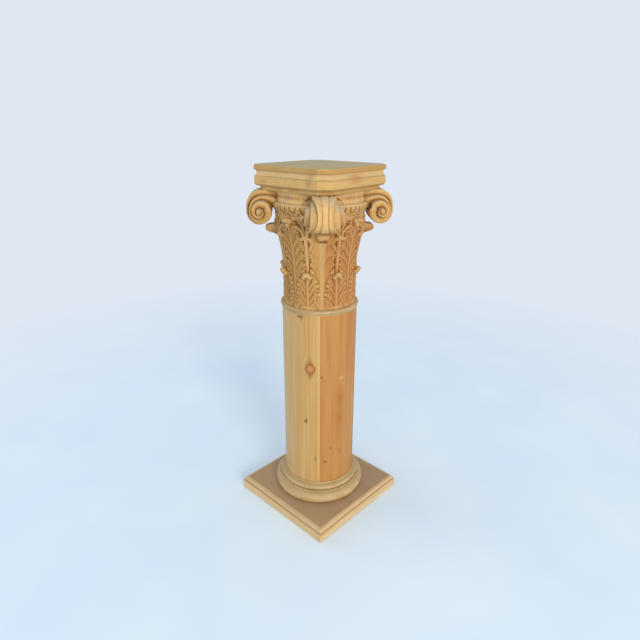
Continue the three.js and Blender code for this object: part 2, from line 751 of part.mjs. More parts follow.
function buildPlinth() {
  const group = new THREE.Group();
  group.add(named('plinth_board', plinthBoard(), FINISHES.brownPine));
  addRound(group, 'plinth_edge', FACES, plinthEdge(), [FINISHES.edgePine]);
  screwPlaces().forEach((place, i) => {
    const screw = named(`plinth_screw_${i + 1}`, screwShape(0), FINISHES.steel);
    screw.position.set(place.x, place.y, 0);
    group.add(screw);
  });
  return group;
}

function buildShaft() {
  const group = new THREE.Group();
  const woods = [FINISHES.orangePine, FINISHES.orangePine, FINISHES.honeyPine, FINISHES.honeyPine];
  const footPlug = shaftPlug(SHAFT_Z, FOOT_SPIGOT_RADIUS, BASE_Z, BASE_HEIGHT);
  const headZ = ASTRAGAL_Z - SHAFT_PLUG_LENGTH;
  const spigotLength = ASTRAGAL_HEIGHT + CAPITAL_SPIGOT_LENGTH;
  const headPlug = shaftPlug(headZ, CAPITAL_SPIGOT_RADIUS, ASTRAGAL_Z, spigotLength);
  group.add(named('base_moulding', baseMoulding(), FINISHES.turnedPine));
  addRound(group, 'shaft_quarter', FACES, shaftQuarter(), woods);
  group.add(named('shaft_foot_plug', footPlug, FINISHES.hiddenPine));
  group.add(named('shaft_head_plug', headPlug, FINISHES.hiddenPine));
  group.add(named('astragal_ring', astragal(), FINISHES.turnedPine));
  return group;
}

function buildCapital() {
  const group = new THREE.Group();
  addRound(group, 'capital_quarter', FACES, capitalQuarter(), [FINISHES.carvedPine]);
  group.add(named('echinus_ring', echinusRing(), FINISHES.carvedPine));
  group.add(named('scroll_bed', scrollBed(), FINISHES.scrollPine));
  addRound(group, 'corner_scroll', CORNERS, scroll(), [FINISHES.scrollPine]);
  addRound(group, 'scroll_dowel', CORNERS, scrollDowel(0), [FINISHES.hiddenPine]);
  group.add(named('capital_plug', capitalPlug(), FINISHES.hiddenPine));
  group.add(named('bed_board', bedBoard(), FINISHES.boardPine));
  group.add(named('abacus_moulding', abacusMoulding(), FINISHES.boardPine));
  group.add(named('top_board', topBoard(), FINISHES.boardPine));
  group.rotation.z = radians(CAPITAL_TURN);
  return group;
}

const stand = new THREE.Group();
stand.name = 'pedestal_column_stand';
stand.add(buildPlinth(), buildShaft(), buildCapital());

export default stand;
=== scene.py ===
"""Looks of the pine pedestal column stand, laid over the frame of its plain solids.

Everything is in metres in the frame's own axes: +Z up, the origin in the middle of the plinth's
underside, the plinth's sides along X and Y. Sizes are given in millimetres and turned to metres
when a piece is finished. The capital is turned three degrees against the plinth.
"""

import logging
import math
from collections.abc import Callable, Sequence
from dataclasses import dataclass, replace
from enum import Enum

import bmesh
import bpy
import numpy as np
from mathutils import Matrix, Vector


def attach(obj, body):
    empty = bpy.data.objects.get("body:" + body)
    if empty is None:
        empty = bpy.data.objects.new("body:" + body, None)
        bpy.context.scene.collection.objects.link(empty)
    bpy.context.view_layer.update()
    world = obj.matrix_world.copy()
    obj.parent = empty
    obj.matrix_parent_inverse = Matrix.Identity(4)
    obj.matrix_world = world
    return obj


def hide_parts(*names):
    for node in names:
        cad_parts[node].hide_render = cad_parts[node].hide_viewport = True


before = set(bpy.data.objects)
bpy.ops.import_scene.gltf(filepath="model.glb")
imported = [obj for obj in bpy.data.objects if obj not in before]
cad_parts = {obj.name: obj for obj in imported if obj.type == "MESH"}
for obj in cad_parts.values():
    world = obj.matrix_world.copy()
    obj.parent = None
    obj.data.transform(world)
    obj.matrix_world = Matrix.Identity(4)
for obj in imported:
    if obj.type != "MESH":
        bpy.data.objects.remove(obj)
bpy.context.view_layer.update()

MM = 0.001
MERGE_MM = 0.002
FACES = ("front_right", "back_right", "back_left", "front_left")
CORNERS = ("front", "right", "back", "left")
FIRST_CORNER = -45.0
CAPITAL_TURN = 3.0
ROUND_STEPS = 144
EVENING_ROUNDS = 40
ALL_ROUND = 900.0

# Inputs and outputs that share a name within their node are reached by number.
VALUE, FROM_MIN, FROM_MAX, TO_MIN, TO_MAX = range(5)
FACTOR, MIX_A, MIX_B = 0, 6, 7
MIXED = 2

Outline = list[tuple[float, float]]
Table = tuple[tuple[float, float], ...]
Points = tuple[np.ndarray, np.ndarray, np.ndarray]
Surface = Callable[[np.ndarray, np.ndarray], Points]

log = logging.getLogger("pedestal")


class Grain(Enum):
    """The way the wood's grain runs, as the turn that brings it upright, in degrees."""

    UPRIGHT = (0.0, 0.0, 0.0)
    ALONG_X = (0.0, 90.0, 0.0)
    ALONG_Y = (90.0, 0.0, 0.0)


# ------------------------------------------------------------------------------------------
# Numbers and curves
# ------------------------------------------------------------------------------------------


def linear(hex_colour: str) -> tuple[float, float, float, float]:
    """Turn an sRGB hex colour to the linear colour that a shader takes.

    Args:
        hex_colour: Six hex digits after a hash sign.

    Returns:
        Linear red, green and blue, with an alpha of 1.
    """
    parts = [int(hex_colour[i : i + 2], 16) / 255 for i in (1, 3, 5)]
    red, green, blue = (p / 12.92 if p <= 0.04045 else ((p + 0.055) / 1.055) ** 2.4 for p in parts)
    return red, green, blue, 1.0


def ease(value: np.ndarray | float, start: float, end: float) -> np.ndarray:
    """Rise smoothly from 0 at start to 1 at end."""
    place = np.clip((np.asarray(value, float) - start) / (end - start), 0.0, 1.0)
    return place * place * (3.0 - 2.0 * place)


def dome(offset: np.ndarray, half: float | np.ndarray) -> np.ndarray:
    """A round-backed bump: 1 where the offset is 0, and 0 from half outwards."""
    return np.sqrt(np.clip(1.0 - (offset / half) ** 2, 0.0, 1.0))


def read_off(table: Table, place: np.ndarray | float) -> np.ndarray:
    """Read the value at a place off a table of (place, value) points."""
    places, values = zip(*table)
    return np.interp(place, places, values)


def arc(
    centre: tuple[float, float],
    radii: tuple[float, float],
    start: float,
    end: float,
    steps: int,
) -> Outline:
    """Points on an arc of an upright ellipse.

    Args:
        centre: Distance from the axis and height, mm.
        radii: Half width and half height, mm.
        start: First angle in degrees, 0 outwards and 90 up.
        end: Last angle.
        steps: Number of steps between them.

    Returns:
        The points, the first and last included.
    """
    angles = np.radians(np.linspace(start, end, steps + 1))
    return [
        (centre[0] + radii[0] * math.cos(a), centre[1] + radii[1] * math.sin(a)) for a in angles
    ]


# ------------------------------------------------------------------------------------------
# Finishes
# ------------------------------------------------------------------------------------------


def add_node(
    tree: bpy.types.NodeTree,
    kind: str,
    inputs: dict[int | str, object] | None = None,
    stops: Sequence[tuple[float, str]] = (),
    **settings: object,
) -> bpy.types.Node:
    """Add a node with its settings and with what its inputs take.

    Args:
        tree: The node tree that gets the node.
        kind: The node's type name.
        inputs: For each input, a socket to link from or a plain value.
        stops: Places and hex colours of a colour ramp.
        settings: The node's own settings.

    Returns:
        The new node.
    """
    node = tree.nodes.new(kind)
    for name, value in settings.items():
        setattr(node, name, value)
    for key, value in (inputs or {}).items():
        if isinstance(value, bpy.types.NodeSocket):
            tree.links.new(value, node.inputs[key])
        else:
            node.inputs[key].default_value = value
    for index, (place, colour) in enumerate(stops):
        ramp = node.color_ramp.elements
        stop = ramp[index] if index < 2 else ramp.new(place)
        stop.position = place
        stop.color = linear(colour)
    return node


@dataclass(frozen=True)
class Knot:
    """A knot, a mark in the wood or a patch of painted light and shade: where it lies in the stand
    and its half sizes, in mm.

    The edge is the share of its size over which it fades, the flame is how many half heights
    the resin above and below it reaches, and the push is how far it bends the grain.
    """

    place: tuple[float, float, float]
    half_width: float
    half_height: float
    core: str = "#8a5a26"
    rim: str = "#8a5a26"
    edge: float = 0.3
    flame: float = 0.0
    push: float = 0.0
    strength: float = 0.9


def patch(
    place: tuple[float, float, float],
    half_width: float,
    half_height: float,
    colour: str,
    edge: float,
    strength: float,
) -> Knot:
    """A patch of one colour in the wood.

    Args:
        place: Its middle, mm.
        half_width: Half its width, mm.
        half_height: Half its height, mm.
        colour: Its colour.
        edge: The share of its size over which it fades.
        strength: How much of the wood's own colour it hides.

    Returns:
        The patch, as a knot without a rim.
    """
    return Knot(place, half_width, half_height, colour, colour, edge, strength=strength)


def band(height: float, half_height: float, colour: str, edge: float, strength: float) -> Knot:
    """A level band of one colour all round the stand, with a patch's other values."""
    return patch((0.0, 0.0, height), ALL_ROUND, half_height, colour, edge, strength)


@dataclass(frozen=True)
class Pine:
    """Scots pine, planed, turned or carved, under a thin worn wax.

    The eye gets pale early wood with thin, darker late-wood lines along the grain, broad streaks
    of warmer and paler wood, brown hollows where the carving holds old wax and dirt and where
    shade is painted in, crests rubbed pale by wear and by a painted highlight, a grey cast of
    dust and bleaching and of painted shade on what faces up, and patches of painted light and
    shade among its knots and marks.
    """

    name: str
    early: str
    late: str
    streak: str
    # Colours of the dirt and painted shade in the hollows, of the wear and painted highlight on the
    # crests, and of the dust and painted shade on what faces up.
    hollow_dirt_and_shade: str = "#7a4a22"
    crest_wear_and_highlight: str = "#e2c084"
    dust_and_top_shade: str = "#a5986c"
    dust_and_top_shade_share: float = 0.5
    grain: Grain = Grain.UPRIGHT
    ring_mm: float = 6.0
    ring_share: float = 0.5
    pith: tuple[float, float] = (60.0, -35.0)
    # Knots and marks in the wood, and patches of painted light and shade.
    marks_and_painted_light: tuple[Knot, ...] = ()
    roughness: float = 0.5
    # How much of the dirt and painted shade the hollows take, and of the wear and painted highlight
    # the crests take.
    hollow_dirt_and_shade_share: float = 0.9
    crest_wear_and_highlight_share: float = 0.45

    def material(self) -> bpy.types.Material:
        """Build the wood's material.

        Returns:
            The material, made once for each finish.
        """
        made = bpy.data.materials.get(self.name)
        if made:
            return made
        made = bpy.data.materials.new(self.name)
        made.use_nodes = True
        tree = made.node_tree
        tree.nodes.clear()
        where = add_node(tree, "ShaderNodeTexCoord")
        place = add_node(
            tree,
            "ShaderNodeVectorMath",
            {0: where.outputs["Object"], "Scale": 1 / MM},
            operation="SCALE",
        ).outputs[0]
        bent, spots = self._knots(tree, place)
        rings, streaks, fibres = self._grain(tree, bent)
        colour = self._colour(tree, rings, streaks, fibres, spots, place)
        colour = self._age(tree, colour, where.outputs["Normal"], place)
        rough = add_node(
            tree,
            "ShaderNodeMapRange",
            {VALUE: streaks, TO_MIN: self.roughness - 0.06, TO_MAX: self.roughness + 0.1},
        ).outputs[0]
        relief = add_node(tree, "ShaderNodeMath", {0: rings, 1: fibres}, operation="ADD").outputs[0]
        bump = add_node(
            tree, "ShaderNodeBump", {"Height": relief, "Strength": 0.35, "Distance": 0.0002}
        )
        shader = add_node(
            tree,
            "ShaderNodeBsdfPrincipled",
            {
                "Base Color": colour,
                "Roughness": rough,
                "Normal": bump.outputs[0],
                "IOR": 1.47,
                "Specular IOR Level": 0.4,
            },
        )
        add_node(tree, "ShaderNodeOutputMaterial", {"Surface": shader.outputs[0]})
        return made

    def _knots(
        self, tree: bpy.types.NodeTree, place: bpy.types.NodeSocket
    ) -> tuple[bpy.types.NodeSocket, list[tuple[bpy.types.NodeSocket, Knot]]]:
        """Bend the grain round each knot.

        Args:
            tree: The material's node tree.
            place: Where the point lies in the stand, mm.

        Returns:
            The bent place, and for each knot its offset in half sizes.
        """
        bent = place
        spots = []
        for knot in self.marks_and_painted_light:
            away = add_node(
                tree, "ShaderNodeVectorMath", {0: place, 1: knot.place}, operation="SUBTRACT"
            ).outputs[0]
            sizes = (1 / knot.half_width, 1 / knot.half_width, 1 / knot.half_height)
            scaled = add_node(
                tree, "ShaderNodeVectorMath", {0: away, 1: sizes}, operation="MULTIPLY"
            ).outputs[0]
            spots.append((scaled, knot))
            if not knot.push:
                continue
            far = add_node(
                tree, "ShaderNodeVectorMath", {0: scaled}, operation="LENGTH"
            ).outputs["Value"]
            push = add_node(
                tree,
                "ShaderNodeMapRange",
                {VALUE: far, FROM_MAX: 3.5, TO_MIN: knot.push, TO_MAX: 0.0},
                interpolation_type="SMOOTHSTEP",
            ).outputs[0]
            shift = add_node(
                tree, "ShaderNodeVectorMath", {0: away, "Scale": push}, operation="SCALE"
            ).outputs[0]
            bent = add_node(
                tree, "ShaderNodeVectorMath", {0: bent, 1: shift}, operation="SUBTRACT"
            ).outputs[0]
        return bent, spots

    def _mark(
        self,
        tree: bpy.types.NodeTree,
        wood: bpy.types.NodeSocket,
        scaled: bpy.types.NodeSocket,
        knot: Knot,
        wobble: bpy.types.NodeSocket,
    ) -> bpy.types.NodeSocket:
        """Draw one knot over the wood.

        Args:
            tree: The material's node tree.
            wood: The colour so far.
            scaled: The offset from the knot in half sizes.
            knot: The knot.
            wobble: A slow noise that makes its outline ragged.

        Returns:
            The colour with the knot.
        """
        if knot.flame:
            parts = add_node(
                tree, "ShaderNodeVectorMath", {0: scaled}, operation="ABSOLUTE"
            ).outputs[0]
            reach = add_node(
                tree,
                "ShaderNodeVectorMath",
                {0: parts, 1: (0.5, 0.5, 1 / knot.flame)},
                operation="DOT_PRODUCT",
            ).outputs["Value"]
            share = add_node(
                tree,
                "ShaderNodeMapRange",
                {VALUE: reach, FROM_MIN: 0.5, FROM_MAX: 1.05, TO_MIN: 0.75, TO_MAX: 0.0},
                interpolation_type="SMOOTHSTEP",
            ).outputs[0]
            wood = add_node(
                tree,
                "ShaderNodeMix",
                {FACTOR: share, MIX_A: wood, MIX_B: linear(knot.rim)},
                data_type="RGBA",
            ).outputs[MIXED]
        far = add_node(
            tree, "ShaderNodeVectorMath", {0: scaled}, operation="LENGTH"
        ).outputs["Value"]
        ragged = add_node(
            tree, "ShaderNodeMapRange", {VALUE: wobble, TO_MIN: 0.75, TO_MAX: 1.25}
        ).outputs[0]
        off = add_node(tree, "ShaderNodeMath", {0: far, 1: ragged}, operation="MULTIPLY").outputs[0]
        face = add_node(
            tree,
            "ShaderNodeValToRGB",
            {0: off},
            stops=((0.0, knot.core), (1.0, knot.rim), (0.55, knot.core), (0.8, knot.rim)),
        ).outputs[0]
        inside = add_node(
            tree,
            "ShaderNodeMapRange",
            {
                VALUE: off,
                FROM_MIN: 1.0 - knot.edge,
                FROM_MAX: 1.0 + knot.edge,
                TO_MIN: knot.strength,
                TO_MAX: 0.0,
            },
            interpolation_type="SMOOTHSTEP",
        ).outputs[0]
        return add_node(
            tree, "ShaderNodeMix", {FACTOR: inside, MIX_A: wood, MIX_B: face}, data_type="RGBA"
        ).outputs[MIXED]

    def _grain(
        self, tree: bpy.types.NodeTree, bent: bpy.types.NodeSocket
    ) -> tuple[bpy.types.NodeSocket, bpy.types.NodeSocket, bpy.types.NodeSocket]:
        """Growth rings, broad streaks and fine fibres, all drawn out along the grain.

        Args:
            tree: The material's node tree.
            bent: Where the point lies, mm, already bent round the knots.

        Returns:
            Three values from 0 to 1: the rings, the streaks and the fibres.
        """
        turn = tuple(math.radians(a) for a in self.grain.value)
        upright = add_node(tree, "ShaderNodeMapping", {"Vector": bent, "Rotation": turn}).outputs[0]
        stretched = add_node(
            tree,
            "ShaderNodeMapping",
            {
                "Vector": upright,
                "Location": (-self.pith[0], -self.pith[1], 0.0),
                "Scale": (1.0, 1.0, 0.06),
            },
        ).outputs[0]
        # A ring texture of scale 1 has a ring every pi / 10 units.
        rings = add_node(
            tree,
            "ShaderNodeTexWave",
            {
                "Vector": stretched,
                "Scale": math.pi / 10 / self.ring_mm,
                "Distortion": 5.0,
                "Detail": 2.0,
                "Detail Scale": 0.6,
                "Detail Roughness": 0.5,
            },
            wave_type="RINGS",
            rings_direction="Z",
            wave_profile="SAW",
        ).outputs["Fac"]
        lines = add_node(
            tree,
            "ShaderNodeMapRange",
            {VALUE: rings, FROM_MIN: 0.35, FROM_MAX: 0.95},
            interpolation_type="SMOOTHSTEP",
        ).outputs[0]
        # Streaks about 25 mm wide. Real fibres are too fine to show, so they are drawn at 1.5 mm.
        streaks = add_node(
            tree, "ShaderNodeTexNoise", {"Vector": stretched, "Scale": 1 / 25, "Detail": 2.0}
        ).outputs[0]
        drawn = add_node(
            tree, "ShaderNodeMapping", {"Vector": stretched, "Scale": (1.0, 1.0, 0.4)}
        ).outputs[0]
        fibres = add_node(
            tree, "ShaderNodeTexNoise", {"Vector": drawn, "Scale": 1 / 1.5, "Detail": 3.0}
        ).outputs[0]
        return lines, streaks, fibres

    def _colour(
        self,
        tree: bpy.types.NodeTree,
        rings: bpy.types.NodeSocket,
        streaks: bpy.types.NodeSocket,
        fibres: bpy.types.NodeSocket,
        spots: list[tuple[bpy.types.NodeSocket, Knot]],
        place: bpy.types.NodeSocket,
    ) -> bpy.types.NodeSocket:
        """Mix the colour of clean wood.

        Args:
            tree: The material's node tree.
            rings: The growth rings.
            streaks: The broad streaks.
            fibres: The fine fibres.
            spots: The offset from each knot.
            place: Where the point lies, mm.

        Returns:
            The colour.
        """
        share = add_node(
            tree,
            "ShaderNodeMapRange",
            {VALUE: streaks, FROM_MIN: 0.35, FROM_MAX: 0.65},
            interpolation_type="SMOOTHSTEP",
        ).outputs[0]
        wood = add_node(
            tree,
            "ShaderNodeMix",
            {FACTOR: share, MIX_A: linear(self.early), MIX_B: linear(self.streak)},
            data_type="RGBA",
        ).outputs[MIXED]
        dark = add_node(
            tree, "ShaderNodeMath", {0: rings, 1: self.ring_share}, operation="MULTIPLY"
        ).outputs[0]
        wood = add_node(
            tree,
            "ShaderNodeMix",
            {FACTOR: dark, MIX_A: wood, MIX_B: linear(self.late)},
            data_type="RGBA",
        ).outputs[MIXED]
        fine = add_node(
            tree, "ShaderNodeMapRange", {VALUE: fibres, FROM_MIN: 0.3, FROM_MAX: 0.75, TO_MAX: 0.22}
        ).outputs[0]
        wood = add_node(
            tree,
            "ShaderNodeMix",
            {FACTOR: fine, MIX_A: wood, MIX_B: linear(self.late)},
            data_type="RGBA",
        ).outputs[MIXED]
        if spots:
            # The outlines of knots waver over some 10 mm.
            wobble = add_node(
                tree, "ShaderNodeTexNoise", {"Vector": place, "Scale": 1 / 10}
            ).outputs[0]
            for scaled, knot in spots:
                wood = self._mark(tree, wood, scaled, knot, wobble)
        return wood

    def _age(
        self,
        tree: bpy.types.NodeTree,
        wood: bpy.types.NodeSocket,
        facing: bpy.types.NodeSocket,
        place: bpy.types.NodeSocket,
    ) -> bpy.types.NodeSocket:
        """Darken the hollows with dirt and painted shade, pale the crests with wear and a painted
        highlight, and grey what faces up with dust and painted shade.

        Args:
            tree: The material's node tree.
            wood: The colour of clean wood.
            facing: The surface's direction.
            place: Where the point lies, mm.

        Returns:
            The colour, aged and with its painted light and shade.
        """
        # Blotches some 30 mm across in the dust and painted shade on what faces up.
        blotch = add_node(
            tree, "ShaderNodeTexNoise", {"Vector": place, "Scale": 1 / 30, "Detail": 4.0}
        ).outputs[0]
        # Painted shade: the hollows of the carving darken, partly for the dirt and old wax in them.
        hollow = add_node(tree, "ShaderNodeAttribute", attribute_name="hollow").outputs["Fac"]
        dirty_and_shaded = add_node(
            tree, "ShaderNodeMath", {0: hollow, 1: self.hollow_dirt_and_shade_share}, operation="MULTIPLY"
        ).outputs[0]
        wood = add_node(
            tree,
            "ShaderNodeMix",
            {FACTOR: dirty_and_shaded, MIX_A: wood, MIX_B: linear(self.hollow_dirt_and_shade)},
            data_type="RGBA",
        ).outputs[MIXED]
        # Painted highlight: the crests of the carving turn pale, partly for wear.
        crest = add_node(tree, "ShaderNodeAttribute", attribute_name="crest").outputs["Fac"]
        worn_and_lit = add_node(
            tree, "ShaderNodeMath", {0: crest, 1: self.crest_wear_and_highlight_share}, operation="MULTIPLY"
        ).outputs[0]
        wood = add_node(
            tree,
            "ShaderNodeMix",
            {FACTOR: worn_and_lit, MIX_A: wood, MIX_B: linear(self.crest_wear_and_highlight)},
            data_type="RGBA",
        ).outputs[MIXED]
        # Painted shade: what faces up turns grey and darker, partly for dust.
        up = add_node(tree, "ShaderNodeSeparateXYZ", {0: facing}).outputs["Z"]
        level = add_node(
            tree,
            "ShaderNodeMapRange",
            {VALUE: up, FROM_MIN: 0.25, FROM_MAX: 0.9, TO_MAX: self.dust_and_top_shade_share},
            interpolation_type="SMOOTHSTEP",
        ).outputs[0]
        patchy = add_node(
            tree,
            "ShaderNodeMapRange",
            {VALUE: blotch, FROM_MIN: 0.3, FROM_MAX: 0.6, TO_MIN: 0.55, TO_MAX: 1.15},
        ).outputs[0]
        dusty_and_shaded = add_node(
            tree, "ShaderNodeMath", {0: level, 1: patchy}, operation="MULTIPLY", use_clamp=True
        ).outputs[0]
        return add_node(
            tree,
            "ShaderNodeMix",
            {FACTOR: dusty_and_shaded, MIX_A: wood, MIX_B: linear(self.dust_and_top_shade)},
            data_type="RGBA",
        ).outputs[MIXED]


@dataclass(frozen=True)
class ZincSteel:
    """Bright zinc on a wood screw: a cool, even metal with faint mottling."""

    name: str = "zinc_plated_steel"
    colour: str = "#c4c4bd"
    roughness: float = 0.35

    def material(self) -> bpy.types.Material:
        """Build the metal's material.

        Returns:
            The material.
        """
        made = bpy.data.materials.new(self.name)
        made.use_nodes = True
        tree = made.node_tree
        tree.nodes.clear()
        where = add_node(tree, "ShaderNodeTexCoord")
        # Zinc crystals a millimetre or so across.
        spangle = add_node(
            tree, "ShaderNodeTexVoronoi", {"Vector": where.outputs["Object"], "Scale": 900.0}
        ).outputs["Distance"]
        tone = add_node(
            tree,
            "ShaderNodeValToRGB",
            {0: spangle},
            stops=((0.0, self.colour), (1.0, "#a3a49f")),
        ).outputs[0]
        shader = add_node(
            tree,
            "ShaderNodeBsdfPrincipled",
            {"Base Color": tone, "Metallic": 1.0, "Roughness": self.roughness},
        )
        add_node(tree, "ShaderNodeOutputMaterial", {"Surface": shader.outputs[0]})
        return made


Finish = Pine | ZincSteel


# ------------------------------------------------------------------------------------------
# Making a piece
# ------------------------------------------------------------------------------------------


class Workpiece:
    """A piece of the stand while it is being shaped, in millimetres."""

    def __init__(self, name: str) -> None:
        """Start an empty piece of this name."""
        self.name = name
        self.shape = bmesh.new()

    def turn_on_lathe(self, outline: Outline, quarters: int = 4) -> None:
        """Spin a closed outline of (distance from the axis, height) points round the axis.

        Args:
            outline: The points, mm.
            quarters: Quarter turns that the piece goes round, 4 for a closed ring.
        """
        verts = [self.shape.verts.new((out, 0.0, up)) for out, up in outline]
        edges = [
            self.shape.edges.new((verts[i], verts[(i + 1) % len(verts)]))
            for i in range(len(verts))
        ]
        bmesh.ops.spin(
            self.shape,
            geom=verts + edges,
            cent=(0, 0, 0),
            axis=(0, 0, 1),
            angle=quarters * math.pi / 2,
            steps=quarters * ROUND_STEPS // 4,
            use_merge=quarters == 4,
        )

    def add_sheet(self, columns: int, rows: int, surface: Surface) -> list[bmesh.types.BMVert]:
        """Lay a grid over a surface.

        Args:
            columns: Steps across.
            rows: Steps up.
            surface: Gives x, y and z, mm, for places across and up from 0 to 1.

        Returns:
            The grid's vertices.
        """
        made = bmesh.ops.create_grid(self.shape, x_segments=columns, y_segments=rows, size=0.5)
        verts = made["verts"]
        flat = np.array([v.co[:2] for v in verts]) + 0.5
        places = np.stack(surface(flat[:, 0], flat[:, 1]), axis=1)
        for vert, place in zip(verts, places):
            vert.co = place
        return verts

    def add_faceted(self, levels: Outline, facet: float) -> None:
        """Stack squares with a facet across each corner, from the bottom up.

        Args:
            levels: Half side and height of each level, mm.
            facet: Width of the facet, mm.
        """
        eighth = Matrix.Rotation(math.pi / 8, 4, "Z")
        ring = bmesh.ops.create_circle(
            self.shape, cap_ends=True, segments=8, radius=1.0, matrix=eighth
        )["verts"]
        self._fit_facets(ring, levels[0], facet)
        faces = list({face for vert in ring for face in vert.link_faces})
        for index, level in enumerate(levels[1:]):
            grown = bmesh.ops.extrude_face_region(self.shape, geom=faces)["geom"]
            if index:
                bmesh.ops.delete(self.shape, geom=faces, context="FACES_ONLY")
            faces = [g for g in grown if isinstance(g, bmesh.types.BMFace)]
            self._fit_facets(vertices_of(grown), level, facet)

    @staticmethod
    def _fit_facets(
        ring: Sequence[bmesh.types.BMVert], level: tuple[float, float], facet: float
    ) -> None:
        """Put eight vertices on the corners of a faceted square.

        Args:
            ring: The vertices, two near each side of the square.
            level: The square's half side and height, mm.
            facet: Width of the facet, mm.
        """
        half, height = level
        along = half - facet / math.sqrt(2)
        for vert in ring:
            across_x = abs(vert.co.x) > abs(vert.co.y)
            out_x, out_y = (half, along) if across_x else (along, half)
            vert.co = (math.copysign(out_x, vert.co.x), math.copysign(out_y, vert.co.y), height)

    def rotate(self, degrees: float) -> None:
        """Turn the whole piece about the stand's axis."""
        turn = Matrix.Rotation(math.radians(degrees), 3, "Z")
        bmesh.ops.rotate(self.shape, cent=(0, 0, 0), matrix=turn, verts=self.shape.verts[:])

    def lift(self, height: float) -> None:
        """Move the whole piece up."""
        bmesh.ops.translate(self.shape, vec=(0, 0, height), verts=self.shape.verts[:])

    def copy(self, name: str) -> "Workpiece":
        """Another piece of the same shape under its own name."""
        twin = Workpiece(name)
        twin.shape.free()
        twin.shape = self.shape.copy()
        return twin

    def soften(self, width: float, segments: int = 2, sharper_than: float = 25.0) -> None:
        """Round the edges that are sharper than an angle.

        Args:
            width: How far the rounding reaches, mm.
            segments: Facets across the rounding.
            sharper_than: Edges flatter than this many degrees are left.
        """
        edges = [
            e
            for e in self.shape.edges
            if len(e.link_faces) == 2 and e.calc_face_angle(0.0) > math.radians(sharper_than)
        ]
        bmesh.ops.bevel(
            self.shape,
            geom=edges,
            offset=width,
            offset_type="OFFSET",
            affect="EDGES",
            segments=segments,
            profile=0.5,
            material=-1,
            clamp_overlap=True,
        )

    def fill_ends(self) -> None:
        """Close every open edge loop with a face."""
        bmesh.ops.holes_fill(
            self.shape, edges=[e for e in self.shape.edges if e.is_boundary], sides=0
        )

    def finish(
        self,
        finish: Finish,
        slot: str,
        nodes: Sequence[str],
        sharp: float = 35.0,
        carved: float = 0.0,
    ) -> bpy.types.Object:
        """Turn the piece into a dressed object that stands for CAD nodes.

        Args:
            finish: What it is made of.
            slot: The record's material slot for the piece; not used.
            nodes: The CAD nodes that it replaces.
            sharp: Edges sharper than this many degrees stay crisp.
            carved: Depth of the carving in mm that counts as a full hollow, 0 for none.

        Returns:
            The object.
        """
        bmesh.ops.remove_doubles(self.shape, verts=self.shape.verts[:], dist=MERGE_MM)
        bmesh.ops.recalc_face_normals(self.shape, faces=self.shape.faces[:])
        bmesh.ops.scale(self.shape, vec=(MM, MM, MM), verts=self.shape.verts[:])
        for face in self.shape.faces:
            face.smooth = True
        for edge in self.shape.edges:
            edge.smooth = edge.calc_face_angle(0.0) < math.radians(sharp)
        mesh = bpy.data.meshes.new(self.name)
        self.shape.to_mesh(mesh)
        self.shape.free()
        if carved:
            mark_carving(mesh, carved * MM)
        piece = bpy.data.objects.new(self.name, mesh)
        bpy.context.scene.collection.objects.link(piece)
        piece.data.materials.append(finish.material())
        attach(piece, "root")
        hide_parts(*nodes)
        log.info("%s: %d faces, %s", self.name, len(mesh.polygons), finish.name)
        return piece


def vertices_of(geometry: Sequence[object]) -> list[bmesh.types.BMVert]:
    """The vertices among what an operator returns."""
    return [item for item in geometry if isinstance(item, bmesh.types.BMVert)]


def mark_carving(mesh: bpy.types.Mesh, depth: float) -> None:
    """Store on every point how far it lies in a hollow or on a crest of the carving.

    The mesh is evened out, and the distance from each point to its evened place, along the
    surface's direction, is what counts.

    Args:
        mesh: A fine mesh of even faces.
        depth: The distance in metres that counts as full.
    """
    count = len(mesh.vertices)
    here = np.empty(count * 3)
    mesh.vertices.foreach_get("co", here)
    here = here.reshape(-1, 3)
    facing = np.array([n.vector[:] for n in mesh.vertex_normals])
    ends = np.empty(len(mesh.edges) * 2, dtype=np.int32)
    mesh.edges.foreach_get("vertices", ends)
    ends = ends.reshape(-1, 2)
    start = np.concatenate([ends[:, 0], ends[:, 1]])
    other = np.concatenate([ends[:, 1], ends[:, 0]])
    near = np.maximum(np.bincount(start, minlength=count), 1)
    even = here
    for _ in range(EVENING_ROUNDS):
        sums = [np.bincount(start, weights=even[other, i], minlength=count) for i in range(3)]
        even = np.stack(sums, axis=1) / near[:, None]
    rise = ((even - here) * facing).sum(axis=1) / depth
    for name, value in (("hollow", rise), ("crest", -rise)):
        layer = mesh.attributes.new(name, "FLOAT", "POINT")
        layer.data.foreach_set("value", np.clip(value, 0.0, 1.0))


def dress_plain_node(node: str, finish: Finish) -> None:
    """Give a hidden CAD node that keeps its mesh its material.

    Args:
        node: The node's name.
        finish: What it is made of.
    """
    solid = bpy.data.objects[node]
    material = finish.material()
    if not solid.material_slots:
        solid.data.materials.append(material)
    for slot in solid.material_slots:
        slot.link = "OBJECT"
        slot.material = material


# ------------------------------------------------------------------------------------------
# The stand's woods
# ------------------------------------------------------------------------------------------

